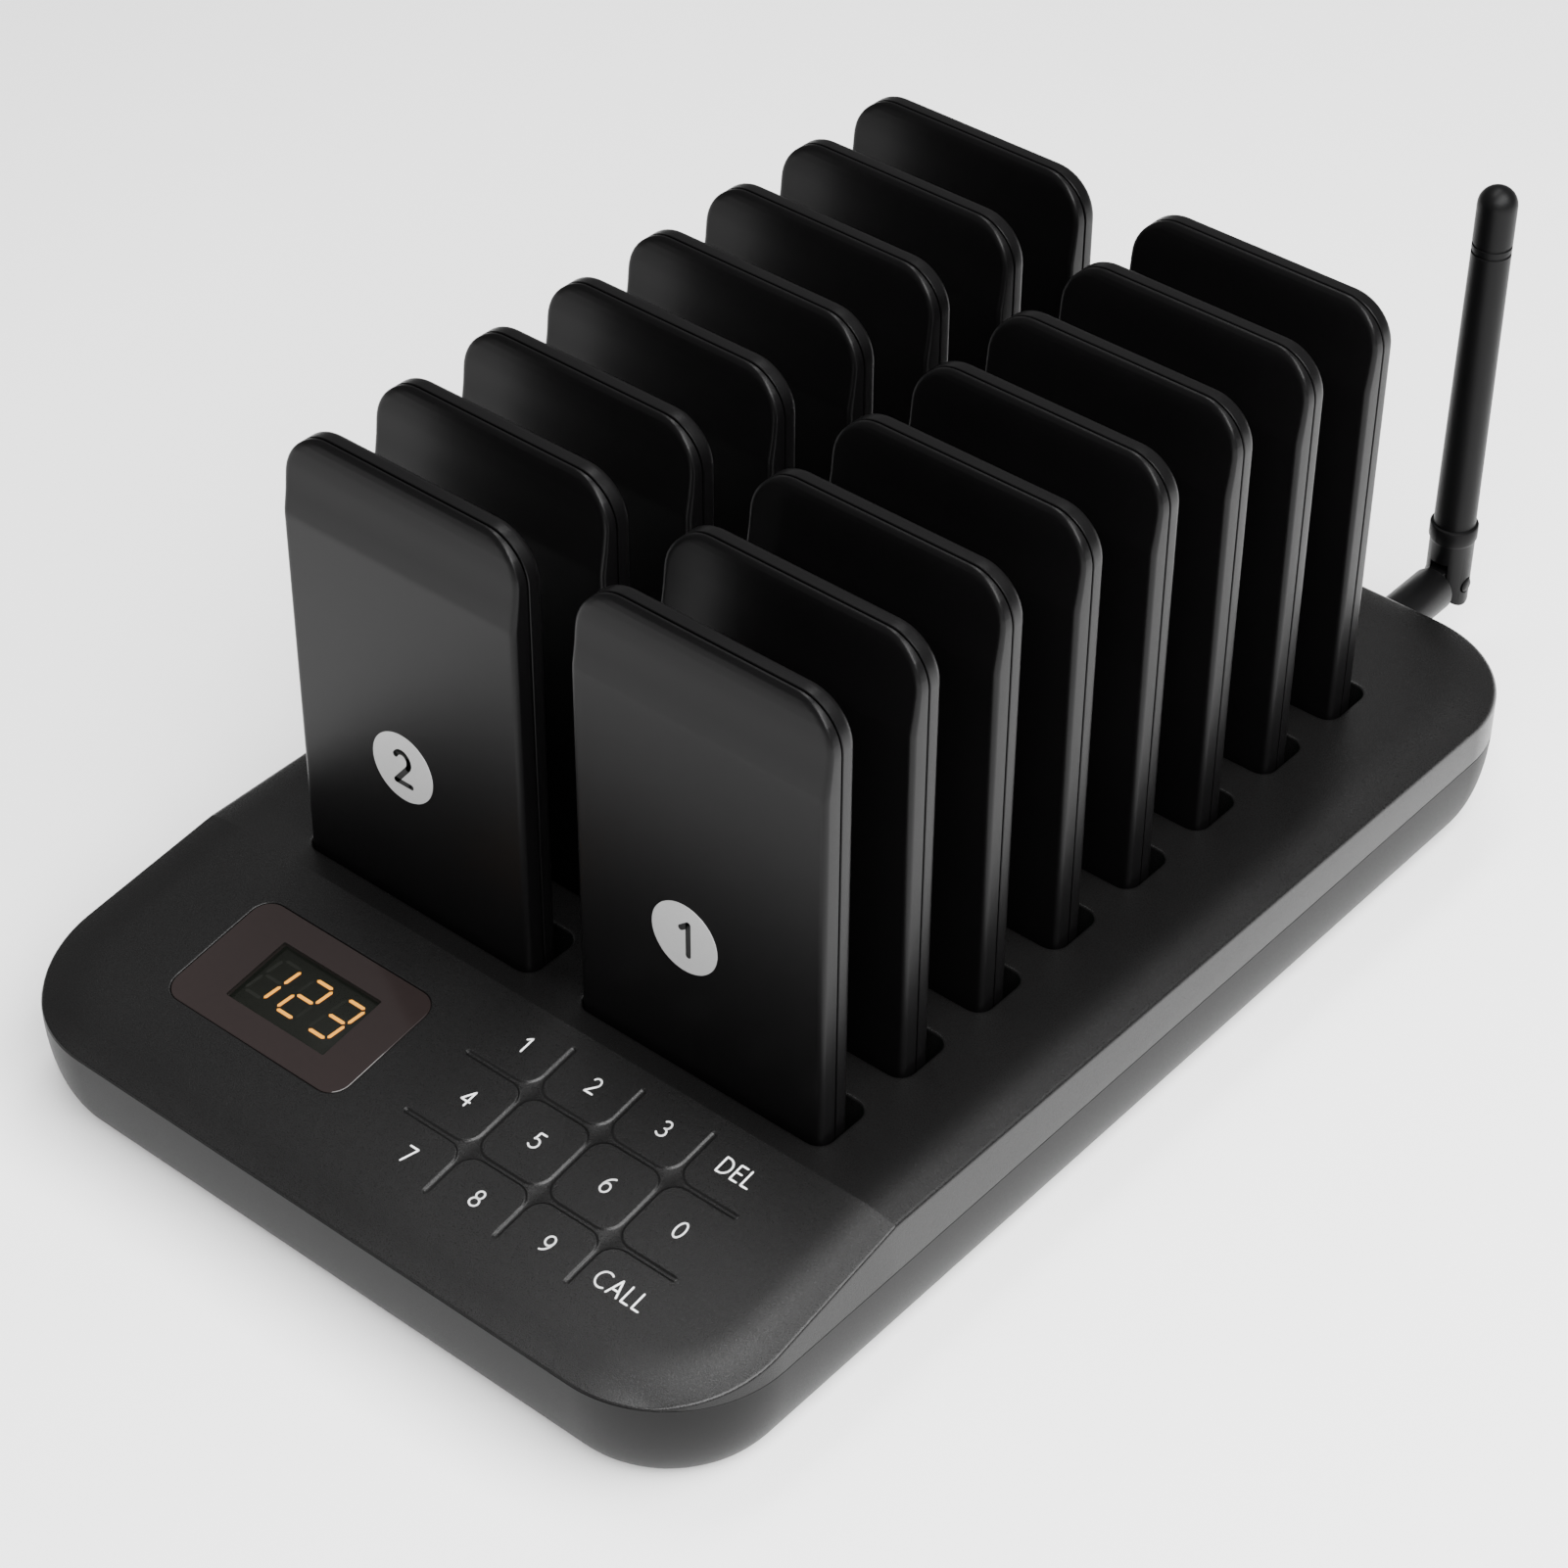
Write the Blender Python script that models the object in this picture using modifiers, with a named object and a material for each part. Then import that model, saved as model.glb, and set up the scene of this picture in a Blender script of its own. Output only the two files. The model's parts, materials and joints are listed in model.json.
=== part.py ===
"""Guest paging station: a charging base with a sloped control panel, sixteen lift-out pagers in two
columns and a folding antenna. Units are metres, +Z is up, the control panel faces -Y, and the origin
lies on the standing surface under the middle of the whole object."""

import math

import bmesh
import bpy
from mathutils import Matrix, Vector

# Base case
BASE_WIDTH = 0.1680
BASE_LENGTH = 0.2578
CORNER_RADIUS = 0.0250
CORNER_STEPS = 6
FOOT_HEIGHT = 0.0015
TRAY_HEIGHT = 0.0200
DECK_HEIGHT = 0.0315
PARTING_HEIGHT = FOOT_HEIGHT + TRAY_HEIGHT
WALL = 0.0022
GAP = 0.0003
OVERCUT = 0.0100
TRAY_CURVE_WIDTH = 0.0070
EDGE_ROLL_WIDTH = 0.0100
EDGE_ROLL_DROP = 0.0008
EDGE_FILLET = 0.0010

# Antenna, measured from the rear wall
ANTENNA_X = 0.0458
ANTENNA_AXIS_HEIGHT = DECK_HEIGHT - 0.0110
HINGE_BEHIND_WALL = 0.0255
KNUCKLE_RADIUS = 0.0048
MAST_TOP_HEIGHT = DECK_HEIGHT + 0.0825
STUB_RADIUS = 0.0048
COLLAR_RADIUS = 0.0051
PIN_RADIUS = 0.0015

# The origin is centred between the front edge and the back of the antenna's collar.
OVERALL_LENGTH = BASE_LENGTH + HINGE_BEHIND_WALL + COLLAR_RADIUS
FRONT_Y = -OVERALL_LENGTH / 2
REAR_Y = FRONT_Y + BASE_LENGTH
BASE_CENTRE_Y = (FRONT_Y + REAR_Y) / 2
HINGE_Y = REAR_Y + HINGE_BEHIND_WALL

# Control panel, which slopes from the crease down to the front edge
CREASE_Y = FRONT_Y + 0.0553
PANEL_SLOPE = 0.165
PANEL_ANGLE = math.atan(PANEL_SLOPE)

# Pagers: seam plane of the first row, spacing, and sizes
ROWS = 8
FIRST_SEAM_Y = FRONT_Y + 0.0648
ROW_PITCH = 0.0220
COLUMN_X = 0.03385
PAGER_WIDTH = 0.0552
PAGER_TOP = DECK_HEIGHT + 0.0916
PAGER_BOTTOM = DECK_HEIGHT - 0.0130
PAGER_TOP_RADIUS = 0.0090
PAGER_BOTTOM_RADIUS = 0.0050
FRONT_DEPTH = 0.0039
BACK_DEPTH = 0.0036
SHOULDER_BELOW_TOP = 0.0175
LIP_DEPTH = 0.0009
PAGER_WALL = 0.0012

# Slots, from the seam plane of the pager that stands in each
SLOT_AHEAD = 0.0047
SLOT_BEHIND = 0.0086
SLOT_SIDE_GAP = 0.0007
SLOT_RADIUS = 0.0030
SKIRT_WALL = 0.0013

# Display, on the panel's slope
LENS_SIZE = (0.0437, 0.0269, 0.0010)
LENS_X = -0.0359
LENS_Y = FRONT_Y + 0.0328
LENS_RADIUS = 0.0040
MODULE_SIZE = (0.0240, 0.0146, 0.0072)
MODULE_SHIFT_X = 0.0009

# Keys, on the panel's slope
KEY_COLUMNS, KEY_ROWS = 4, 3
FIRST_KEY = (0.0050, FRONT_Y + 0.0478)
KEY_PITCH = (0.0163, 0.0148)

# Circuit boards inside the base
BOARD_THICKNESS = 0.0016
CHARGING_BOARD = (0.1380, 0.1740, BOARD_THICKNESS)
CHARGING_BOARD_TOP = PAGER_BOTTOM - GAP
CHARGING_BOARD_Y = FIRST_SEAM_Y + (ROWS - 1) * ROW_PITCH / 2 + (SLOT_BEHIND - SLOT_AHEAD) / 2
POST_RADIUS = 0.0035
POST_X = 0.0600
POST_PITCH_Y = 0.0750
CONTROL_BOARD = (0.1200, 0.0400, BOARD_THICKNESS)
CONTROL_BOARD_X = 0.0030
CONTROL_BOARD_DEPTH = LENS_SIZE[2] + MODULE_SIZE[2] + 3 * GAP
SPRING_RADIUS = 0.0025

# Power inlet in the rear wall
JACK_X = -0.0480
JACK_HEIGHT = 0.0125
JACK_RADIUS = 0.0040
JACK_BORE_RADIUS = 0.0028
JACK_BODY = (0.0100, 0.0110, 0.0110)

# Rubber feet
FOOT_STRIP = (0.1100, 0.0120)
FOOT_INSET = 0.0300

# Inner works of a pager
CORE_SIZE = (0.0480, 0.0010, 0.0800)
CORE_MIDDLE = PAGER_BOTTOM + 0.0450
BATTERY_SIZE = (0.0300, 0.0026, 0.0400)
BATTERY_BELOW = 0.0120
CORE_FITTINGS_Y = 0.0009
MOTOR_RADIUS = 0.0050
MOTOR_LENGTH = 0.0024
MOTOR_AT = (0.0140, 0.0280)
POCKET_DEPTH = 0.0054
POCKET_HEIGHT = 0.0840
POCKET_SIDE = PAGER_WALL + 0.0015

# Antenna's socket, swivel and fork
WALL_HOLE_RADIUS = 0.0036
SOCKET_RADIUS = 0.0031
SOCKET_LENGTH = 0.0140
STUB_FRONT_Y = REAR_Y + 0.0005
STUB_BORE_LENGTH = 0.0120
TONGUE_HALF = 0.0018
TONGUE_RADIUS = 0.0042
TONGUE_REACH = 0.0080
CHEEK_HALF = 0.0048
FORK_RISE = 0.0085
FORK_SLOT_TOP = 0.0058
FORK_CLEARANCE = 0.0006
CUT_REACH = 0.0140
TIP_RADIUS = 0.0040
FORK_RADIUS = 0.0047


def clear_scene():
    for old in list(bpy.data.objects):
        bpy.data.objects.remove(old, do_unlink=True)


def new_collection(name, hidden=False):
    collection = bpy.data.collections.new(name)
    bpy.context.scene.collection.children.link(collection)
    collection.hide_render = hidden
    return collection


def material(name, colour, roughness, metallic=0.0):
    made = bpy.data.materials.new(name)
    made.use_nodes = True
    shader = made.node_tree.nodes["Principled BSDF"]
    shader.inputs["Base Color"].default_value = (*colour, 1.0)
    shader.inputs["Roughness"].default_value = roughness
    shader.inputs["Metallic"].default_value = metallic
    return made


def mesh_from(bm, name):
    """The bmesh as mesh data, with its faces turned outwards."""
    bmesh.ops.recalc_face_normals(bm, faces=bm.faces)
    mesh = bpy.data.meshes.new(name)
    bm.to_mesh(mesh)
    bm.free()
    return mesh


def place(mesh, name, collection, finish=None, at=(0, 0, 0), turn=(0, 0, 0)):
    made = bpy.data.objects.new(name, mesh)
    made.location = at
    made.rotation_euler = turn
    collection.objects.link(made)
    if finish and not mesh.materials:
        mesh.materials.append(finish)
    return made


def helper(mesh, name, at=(0, 0, 0), turn=(0, 0, 0)):
    """A cutter or a piece to be joined: kept out of the model itself."""
    made = place(mesh, name, CUTTERS, None, at, turn)
    made.hide_render = True
    made.display_type = "WIRE"
    return made


def boolean(target, tool, operation):
    change = target.modifiers.new(tool.name, "BOOLEAN")
    change.operation = operation
    change.object = tool
    change.solver = "EXACT"


def applied(thing):
    """The object's evaluated mesh as new mesh data."""
    bpy.context.view_layer.update()
    graph = bpy.context.evaluated_depsgraph_get()
    return bpy.data.meshes.new_from_object(thing.evaluated_get(graph))


def smooth(mesh, angle=35):
    mesh.shade_smooth()
    mesh.set_sharp_from_angle(angle=math.radians(angle))


def rounded_outline(width, length, radii, steps):
    """Corners of a rounded rectangle, anticlockwise from its +X +Y corner, with one radius a corner."""
    points = []
    for corner, radius in enumerate(radii):
        side_x = 1 if corner in (0, 3) else -1
        side_y = 1 if corner in (0, 1) else -1
        centre = Vector((side_x * (width / 2 - radius), side_y * (length / 2 - radius)))
        for step in range(steps + 1):
            angle = math.radians(90 * (corner + step / steps))
            points.append(centre + radius * Vector((math.cos(angle), math.sin(angle))))
    return points


def add_prism(bm, outline, low, high, centre=(0, 0)):
    """An upright solid on the outline, from height low to height high."""
    ring = [bm.verts.new((x + centre[0], y + centre[1], low)) for x, y in outline]
    floor = bm.faces.new(ring)
    grown = bmesh.ops.extrude_face_region(bm, geom=[floor], use_keep_orig=True)
    raised = [piece for piece in grown["geom"] if isinstance(piece, bmesh.types.BMVert)]
    bmesh.ops.translate(bm, verts=raised, vec=(0, 0, high - low))


def add_box(bm, size, centre):
    made = bmesh.ops.create_cube(bm, size=1.0)
    bmesh.ops.scale(bm, verts=made["verts"], vec=size)
    bmesh.ops.translate(bm, verts=made["verts"], vec=centre)


def add_cylinder(bm, radius, length, centre, axis="Z", steps=16):
    turns = {
        "X": Matrix.Rotation(math.pi / 2, 4, "Y"),
        "Y": Matrix.Rotation(math.pi / 2, 4, "X"),
        "Z": Matrix(),
    }
    bmesh.ops.create_cone(
        bm,
        cap_ends=True,
        segments=steps,
        radius1=radius,
        radius2=radius,
        depth=length,
        matrix=Matrix.Translation(centre) @ turns[axis],
    )


def box_mesh(name, size, centre=(0, 0, 0)):
    bm = bmesh.new()
    add_box(bm, size, centre)
    return mesh_from(bm, name)


def cylinder_mesh(name, radius, length, axis="Z", steps=16, centre=(0, 0, 0)):
    bm = bmesh.new()
    add_cylinder(bm, radius, length, centre, axis, steps)
    return mesh_from(bm, name)


def inside_distance(x, y):
    """How far a point of the plan lies inside the base's outline."""
    over_x = abs(x) - (BASE_WIDTH / 2 - CORNER_RADIUS)
    over_y = abs(y - BASE_CENTRE_Y) - (BASE_LENGTH / 2 - CORNER_RADIUS)
    outside = math.hypot(max(over_x, 0.0), max(over_y, 0.0))
    return CORNER_RADIUS - outside - min(max(over_x, over_y), 0.0)


def panel_height(y):
    """The flat deck behind the crease, and the sloped panel ahead of it."""
    return DECK_HEIGHT - PANEL_SLOPE * max(CREASE_Y - y, 0.0)


def top_surface(x, y):
    """The lid's outer surface: flat in the middle, with a shallow roll and a small fillet at the edge."""
    inside = max(inside_distance(x, y), 0.0)
    roll = EDGE_ROLL_DROP * (1 - min(inside / EDGE_ROLL_WIDTH, 1.0)) ** 2
    fillet = 0.5 * (EDGE_FILLET - inside) if inside < EDGE_FILLET else 0.0
    return max(panel_height(y) - roll - fillet, PARTING_HEIGHT + 0.0004)


def inner_top_surface(x, y):
    return panel_height(y) - WALL


def tray_surface(x, y):
    """The tray's outer surface: a quarter of an ellipse from the parting line in under the base."""
    share = min(max(inside_distance(x, y), 0.0) / TRAY_CURVE_WIDTH, 1.0)
    return PARTING_HEIGHT - GAP / 2 - TRAY_HEIGHT * math.sin(math.acos(1 - share))


def add_shaped_slab(bm, inset, rings, surface, flat_height, crease):
    """A solid on the base's outline, moved in by inset, between a flat face and a curved surface."""
    radius = CORNER_RADIUS - inset
    outline = rounded_outline(BASE_WIDTH - 2 * inset, BASE_LENGTH - 2 * inset, [radius] * 4, CORNER_STEPS)
    ring = [bm.verts.new((x, y + BASE_CENTRE_Y, 0)) for x, y in outline]
    middle = bm.faces.new(ring)
    reached = 0.0
    for distance in rings:
        step = distance - reached
        bmesh.ops.inset_region(bm, faces=[middle], thickness=step, use_boundary=True, use_even_offset=True)
        reached = distance
    if crease:
        geometry = bm.verts[:] + bm.edges[:] + bm.faces[:]
        bmesh.ops.bisect_plane(bm, geom=geometry, plane_co=(0, CREASE_Y, 0), plane_no=(0, 1, 0))
    for corner in bm.verts:
        corner.co.z = surface(corner.co.x, corner.co.y)
    rim = [edge for edge in bm.edges if edge.is_boundary]
    grown = bmesh.ops.extrude_edge_only(bm, edges=rim)
    lowered = [piece for piece in grown["geom"] if isinstance(piece, bmesh.types.BMVert)]
    for corner in lowered:
        corner.co.z = flat_height
    bmesh.ops.contextual_create(bm, geom=[e for e in bm.edges if e.is_boundary])


def slot_centres():
    for row in range(ROWS):
        for side in (1, -1):
            yield side * COLUMN_X, FIRST_SEAM_Y + row * ROW_PITCH + (SLOT_BEHIND - SLOT_AHEAD) / 2


def slot_outline(grow):
    width = PAGER_WIDTH + 2 * (SLOT_SIDE_GAP + grow)
    depth = SLOT_AHEAD + SLOT_BEHIND + 2 * grow
    return rounded_outline(width, depth, [SLOT_RADIUS + grow] * 4, 2)


def slots_mesh(name, grow, low, high):
    bm = bmesh.new()
    for centre in slot_centres():
        add_prism(bm, slot_outline(grow), low, high, centre)
    return mesh_from(bm, name)


def on_panel(x, y, depth):
    """The place that lies depth under the panel's surface, square to its slope."""
    return (x, y + depth * math.sin(PANEL_ANGLE), panel_height(y) - depth * math.cos(PANEL_ANGLE))


def make_top_shell():
    bm = bmesh.new()
    add_shaped_slab(bm, 0.0, (0.001, 0.004, 0.010), top_surface, PARTING_HEIGHT + GAP / 2, True)
    shell = place(mesh_from(bm, "base_top_shell"), "base_top_shell", PARTS, CASE_BLACK)
    bm = bmesh.new()
    add_shaped_slab(bm, WALL, (), inner_top_surface, PARTING_HEIGHT - OVERCUT, True)
    # Near the front edge, where the underside drops under the parting plane, the lid stays solid.
    cavity = helper(mesh_from(bm, "lid_cavity"), "lid_cavity")
    boolean(shell, cavity, "DIFFERENCE")
    skirts = slots_mesh("slot_skirts", SKIRT_WALL, PAGER_BOTTOM, DECK_HEIGHT - WALL / 2)
    boolean(shell, helper(skirts, "slot_skirts"), "UNION")
    slots = slots_mesh("slots", 0.0, PAGER_BOTTOM - WALL, DECK_HEIGHT + WALL)
    boolean(shell, helper(slots, "slots"), "DIFFERENCE")
    cut_display_seat(shell)
    cut_antenna_hole(shell)
    smooth(shell.data)


def cut_antenna_hole(wall):
    name = wall.name + "_antenna_hole"
    hole = cylinder_mesh(name, WALL_HOLE_RADIUS, CUT_REACH, "Y")
    boolean(wall, helper(hole, name, (ANTENNA_X, REAR_Y, ANTENNA_AXIS_HEIGHT)), "DIFFERENCE")


def cut_display_seat(shell):
    bm = bmesh.new()
    width, length, thickness = LENS_SIZE
    depth = thickness + GAP
    radius = LENS_RADIUS + GAP
    add_prism(bm, rounded_outline(width + 2 * GAP, length + 2 * GAP, [radius] * 4, 4), -depth, 0.002)
    seat = helper(mesh_from(bm, "lens_seat"), "lens_seat", on_panel(LENS_X, LENS_Y, 0), (PANEL_ANGLE, 0, 0))
    boolean(shell, seat, "DIFFERENCE")
    size = (MODULE_SIZE[0] + 4 * GAP, MODULE_SIZE[1] + 4 * GAP, OVERCUT)
    at = on_panel(LENS_X + MODULE_SHIFT_X, LENS_Y, WALL)
    window = helper(box_mesh("window", size), "window", at, (PANEL_ANGLE, 0, 0))
    boolean(shell, window, "DIFFERENCE")


def tray_rings(angles):
    """Distances in from the edge at which the tray's curve is cut, ending on the flat floor."""
    curved = [TRAY_CURVE_WIDTH * (1 - math.cos(math.radians(angle))) for angle in angles]
    return curved + [TRAY_CURVE_WIDTH + 0.001]


def make_bottom_tray():
    bm = bmesh.new()
    rings = tray_rings((25, 45, 62, 76))
    add_shaped_slab(bm, 0.0, rings, tray_surface, PARTING_HEIGHT - GAP / 2, False)
    # The rim's own ring doubles the flat face's outline, so it is merged into it.
    bmesh.ops.remove_doubles(bm, verts=bm.verts, dist=1e-6)
    tray = place(mesh_from(bm, "base_bottom_tray"), "base_bottom_tray", PARTS, CASE_GREY)
    bm = bmesh.new()
    rings = tray_rings((45, 70))
    add_shaped_slab(bm, WALL, rings, inner_tray_surface, PARTING_HEIGHT + OVERCUT, False)
    boolean(tray, helper(mesh_from(bm, "tray_cavity"), "tray_cavity"), "DIFFERENCE")
    boolean(tray, helper(posts_mesh(), "board_posts"), "UNION")
    cut_antenna_hole(tray)
    jack_hole = cylinder_mesh("jack_hole", JACK_RADIUS + GAP, CUT_REACH, "Y")
    boolean(tray, helper(jack_hole, "jack_hole", (JACK_X, REAR_Y, JACK_HEIGHT)), "DIFFERENCE")
    smooth(tray.data)


def inner_tray_surface(x, y):
    share = min(max(inside_distance(x, y) - WALL, 0.0) / TRAY_CURVE_WIDTH, 1.0)
    return PARTING_HEIGHT - (TRAY_HEIGHT - WALL) * math.sin(math.acos(1 - share))


def posts_mesh():
    """Six posts that carry the charging board."""
    bm = bmesh.new()
    low = FOOT_HEIGHT + WALL / 2
    high = CHARGING_BOARD_TOP - BOARD_THICKNESS - GAP
    for x in (-POST_X, POST_X):
        for row in (-1, 0, 1):
            centre = (x, CHARGING_BOARD_Y + row * POST_PITCH_Y, (low + high) / 2)
            add_cylinder(bm, POST_RADIUS, high - low, centre, steps=12)
    return mesh_from(bm, "board_posts")


def make_charging_board():
    middle = CHARGING_BOARD_TOP - BOARD_THICKNESS / 2
    mesh = box_mesh("charging_board", CHARGING_BOARD)
    place(mesh, "charging_board", PARTS, BOARD_GREEN, (0, CHARGING_BOARD_Y, middle))


def make_control_board():
    """The board under the panel, with one touch spring reaching up under each key."""
    bm = bmesh.new()
    add_box(bm, CONTROL_BOARD, (0, 0, -BOARD_THICKNESS / 2))
    board = place(mesh_from(bm, "control_board"), "control_board", PARTS, BOARD_GREEN)
    board.location = on_panel(CONTROL_BOARD_X, LENS_Y, CONTROL_BOARD_DEPTH)
    board.rotation_euler = (PANEL_ANGLE, 0, 0)
    bm = bmesh.new()
    high = CONTROL_BOARD_DEPTH - WALL * math.cos(PANEL_ANGLE) - GAP
    low = -BOARD_THICKNESS / 2
    for column in range(KEY_COLUMNS):
        for row in range(KEY_ROWS):
            x = FIRST_KEY[0] + column * KEY_PITCH[0] - CONTROL_BOARD_X
            y = (FIRST_KEY[1] - row * KEY_PITCH[1] - LENS_Y) / math.cos(PANEL_ANGLE)
            add_cylinder(bm, SPRING_RADIUS, high - low, (x, y, (low + high) / 2), steps=8)
    springs = helper(mesh_from(bm, "touch_springs"), "touch_springs", board.location, board.rotation_euler)
    boolean(board, springs, "UNION")


def make_display():
    bm = bmesh.new()
    width, length, thickness = LENS_SIZE
    add_prism(bm, rounded_outline(width, length, [LENS_RADIUS] * 4, 4), -thickness, 0)
    lens = place(mesh_from(bm, "display_lens"), "display_lens", PARTS, LENS_SMOKE)
    lens.location = on_panel(LENS_X, LENS_Y, 0)
    lens.rotation_euler = (PANEL_ANGLE, 0, 0)
    depth = thickness + 2 * GAP + MODULE_SIZE[2] / 2
    module = place(box_mesh("display_module", MODULE_SIZE), "display_module", PARTS, MODULE_BLACK)
    module.location = on_panel(LENS_X + MODULE_SHIFT_X, LENS_Y, depth)
    module.rotation_euler = (PANEL_ANGLE, 0, 0)


def make_power_inlet():
    """A barrel inlet: a square body inside the rear wall, and a round mouth through it."""
    body = box_mesh("power_inlet", JACK_BODY, (0, -0.0116, 0))
    inlet = place(body, "power_inlet", PARTS, CONNECTOR_BLACK, (JACK_X, REAR_Y, JACK_HEIGHT))
    barrel = cylinder_mesh("inlet_barrel", JACK_RADIUS, 0.0060, "Y", 20, (0, -0.0042, 0))
    boolean(inlet, helper(barrel, "inlet_barrel", inlet.location), "UNION")
    bore = cylinder_mesh("inlet_bore", JACK_BORE_RADIUS, 0.0130, "Y", 20, (0, -0.0070, 0))
    boolean(inlet, helper(bore, "inlet_bore", inlet.location), "DIFFERENCE")


def make_feet():
    """Two round-ended rubber strips across the underside."""
    length, width = FOOT_STRIP
    for name, y in (("foot_strip_front", FRONT_Y + FOOT_INSET), ("foot_strip_rear", REAR_Y - FOOT_INSET)):
        bm = bmesh.new()
        outline = rounded_outline(length, width, [0.49 * width] * 4, 4)
        add_prism(bm, outline, 0, FOOT_HEIGHT - GAP / 2)
        place(mesh_from(bm, name), name, PARTS, FOOT_RUBBER, (0, y, 0))


def pager_outline(inset):
    """The pager seen from the front, with tighter corners at its foot than at its head."""
    width = PAGER_WIDTH - 2 * inset
    height = PAGER_TOP - PAGER_BOTTOM - 2 * inset
    radii = [PAGER_TOP_RADIUS - inset] * 2 + [PAGER_BOTTOM_RADIUS - inset] * 2
    return rounded_outline(width, height, radii, 3)


def front_depth_at(height):
    """The front shell's depth: full up to the shoulder, then curving back to a thin lip at the top."""
    above = (height + SHOULDER_BELOW_TOP - PAGER_TOP) / SHOULDER_BELOW_TOP
    share = min(max(above, 0.0), 1.0)
    return FRONT_DEPTH - (FRONT_DEPTH - LIP_DEPTH) * (0.55 * share + 0.45 * share**4)


def half_pager_mesh(name, side, depth, rim, cavity, shoulder):
    """One half of the case, open towards the seam. side is -1 for the front half and 1 for the back."""
    bm = bmesh.new()
    middle = (PAGER_TOP + PAGER_BOTTOM) / 2
    ring = [bm.verts.new((x, side * GAP / 2, y + middle)) for x, y in pager_outline(0.0)]
    face = bm.faces.new(ring)
    grown = bmesh.ops.extrude_face_region(bm, geom=[face], use_keep_orig=True)
    moved = [piece for piece in grown["geom"] if isinstance(piece, bmesh.types.BMVert)]
    outer = [piece for piece in grown["geom"] if isinstance(piece, bmesh.types.BMFace)]
    for corner in moved:
        corner.co.y = side * (depth - rim[0][1])
    reached = 0.0
    for inset, drop in rim[1:]:
        bmesh.ops.inset_region(bm, faces=outer, thickness=inset - reached, use_even_offset=True)
        for corner in outer[0].verts:
            corner.co.y = side * (depth - drop)
        reached = inset
    if shoulder:
        for share in (0.0, 0.3, 0.6, 0.85):
            geometry = bm.verts[:] + bm.edges[:] + bm.faces[:]
            height = PAGER_TOP - SHOULDER_BELOW_TOP * (1 - share)
            bmesh.ops.bisect_plane(bm, geom=geometry, plane_co=(0, 0, height), plane_no=(0, 0, 1))
        for corner in bm.verts:
            if abs(corner.co.y) > GAP:
                corner.co.y *= front_depth_at(corner.co.z) / depth
    shell = helper(mesh_from(bm, name + "_blank"), name + "_blank")
    size, centre = cavity
    pocket = helper(box_mesh(name + "_pocket", size), name + "_pocket", centre)
    boolean(shell, pocket, "DIFFERENCE")
    mesh = applied(shell)
    mesh.name = name
    return mesh


def core_mesh():
    """The pager's inner works: circuit board, battery and the vibration motor, fixed together."""
    bm = bmesh.new()
    add_box(bm, CORE_SIZE, (0, 0, CORE_MIDDLE))
    board = helper(mesh_from(bm, "core_board"), "core_board")
    battery_at = (0, CORE_FITTINGS_Y, CORE_MIDDLE - BATTERY_BELOW)
    battery = box_mesh("core_battery", BATTERY_SIZE, battery_at)
    boolean(board, helper(battery, "core_battery"), "UNION")
    motor_at = (MOTOR_AT[0], CORE_FITTINGS_Y, CORE_MIDDLE + MOTOR_AT[1])
    motor = cylinder_mesh("core_motor", MOTOR_RADIUS, MOTOR_LENGTH, "Y", 12, motor_at)
    boolean(board, helper(motor, "core_motor"), "UNION")
    mesh = applied(board)
    mesh.name = "pager_core"
    return mesh


def make_pagers():
    """Odd numbers stand in the right-hand column and even numbers in the left, from the front row back."""
    pocket = ((PAGER_WIDTH - 2 * POCKET_SIDE, POCKET_DEPTH, POCKET_HEIGHT), (0, 0, CORE_MIDDLE))
    front_rim = ((0, 0.0009), (0.0009, 0.0))
    back_rim = ((0, 0.0016), (0.0005, 0.0006), (0.0017, 0.0))
    front = half_pager_mesh("pager_front", -1, FRONT_DEPTH, front_rim, pocket, True)
    back = half_pager_mesh("pager_back", 1, BACK_DEPTH, back_rim, pocket, False)
    core = core_mesh()
    kinds = (
        ("front_shell", front, PAGER_BLACK),
        ("back_shell", back, PAGER_BLACK),
        ("core", core, BOARD_GREEN),
    )
    for kind, mesh, finish in kinds:
        smooth(mesh)
    for row in range(ROWS):
        for column, x in enumerate((COLUMN_X, -COLUMN_X)):
            number = 2 * row + column + 1
            at = (x, FIRST_SEAM_Y + row * ROW_PITCH, 0)
            for kind, mesh, finish in kinds:
                place(mesh, f"pager_{number:02d}_{kind}", PARTS, finish, at)


def antenna_empty(name, y):
    pivot = bpy.data.objects.new(name, None)
    pivot.location = (ANTENNA_X, y, ANTENNA_AXIS_HEIGHT)
    PARTS.objects.link(pivot)
    return pivot


def make_antenna_socket():
    """The threaded socket through the rear wall, with a flange inside it."""
    at = (ANTENNA_X, REAR_Y, ANTENNA_AXIS_HEIGHT)
    barrel = cylinder_mesh("antenna_socket", SOCKET_RADIUS, SOCKET_LENGTH, "Y", 16, (0, 0.0026, 0))
    socket = place(barrel, "antenna_socket", PARTS, BRASS, at)
    flange = cylinder_mesh("socket_flange", 0.0055, 0.0020, "Y", 16, (0, -0.0044, 0))
    boolean(socket, helper(flange, "socket_flange", at), "UNION")


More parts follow.
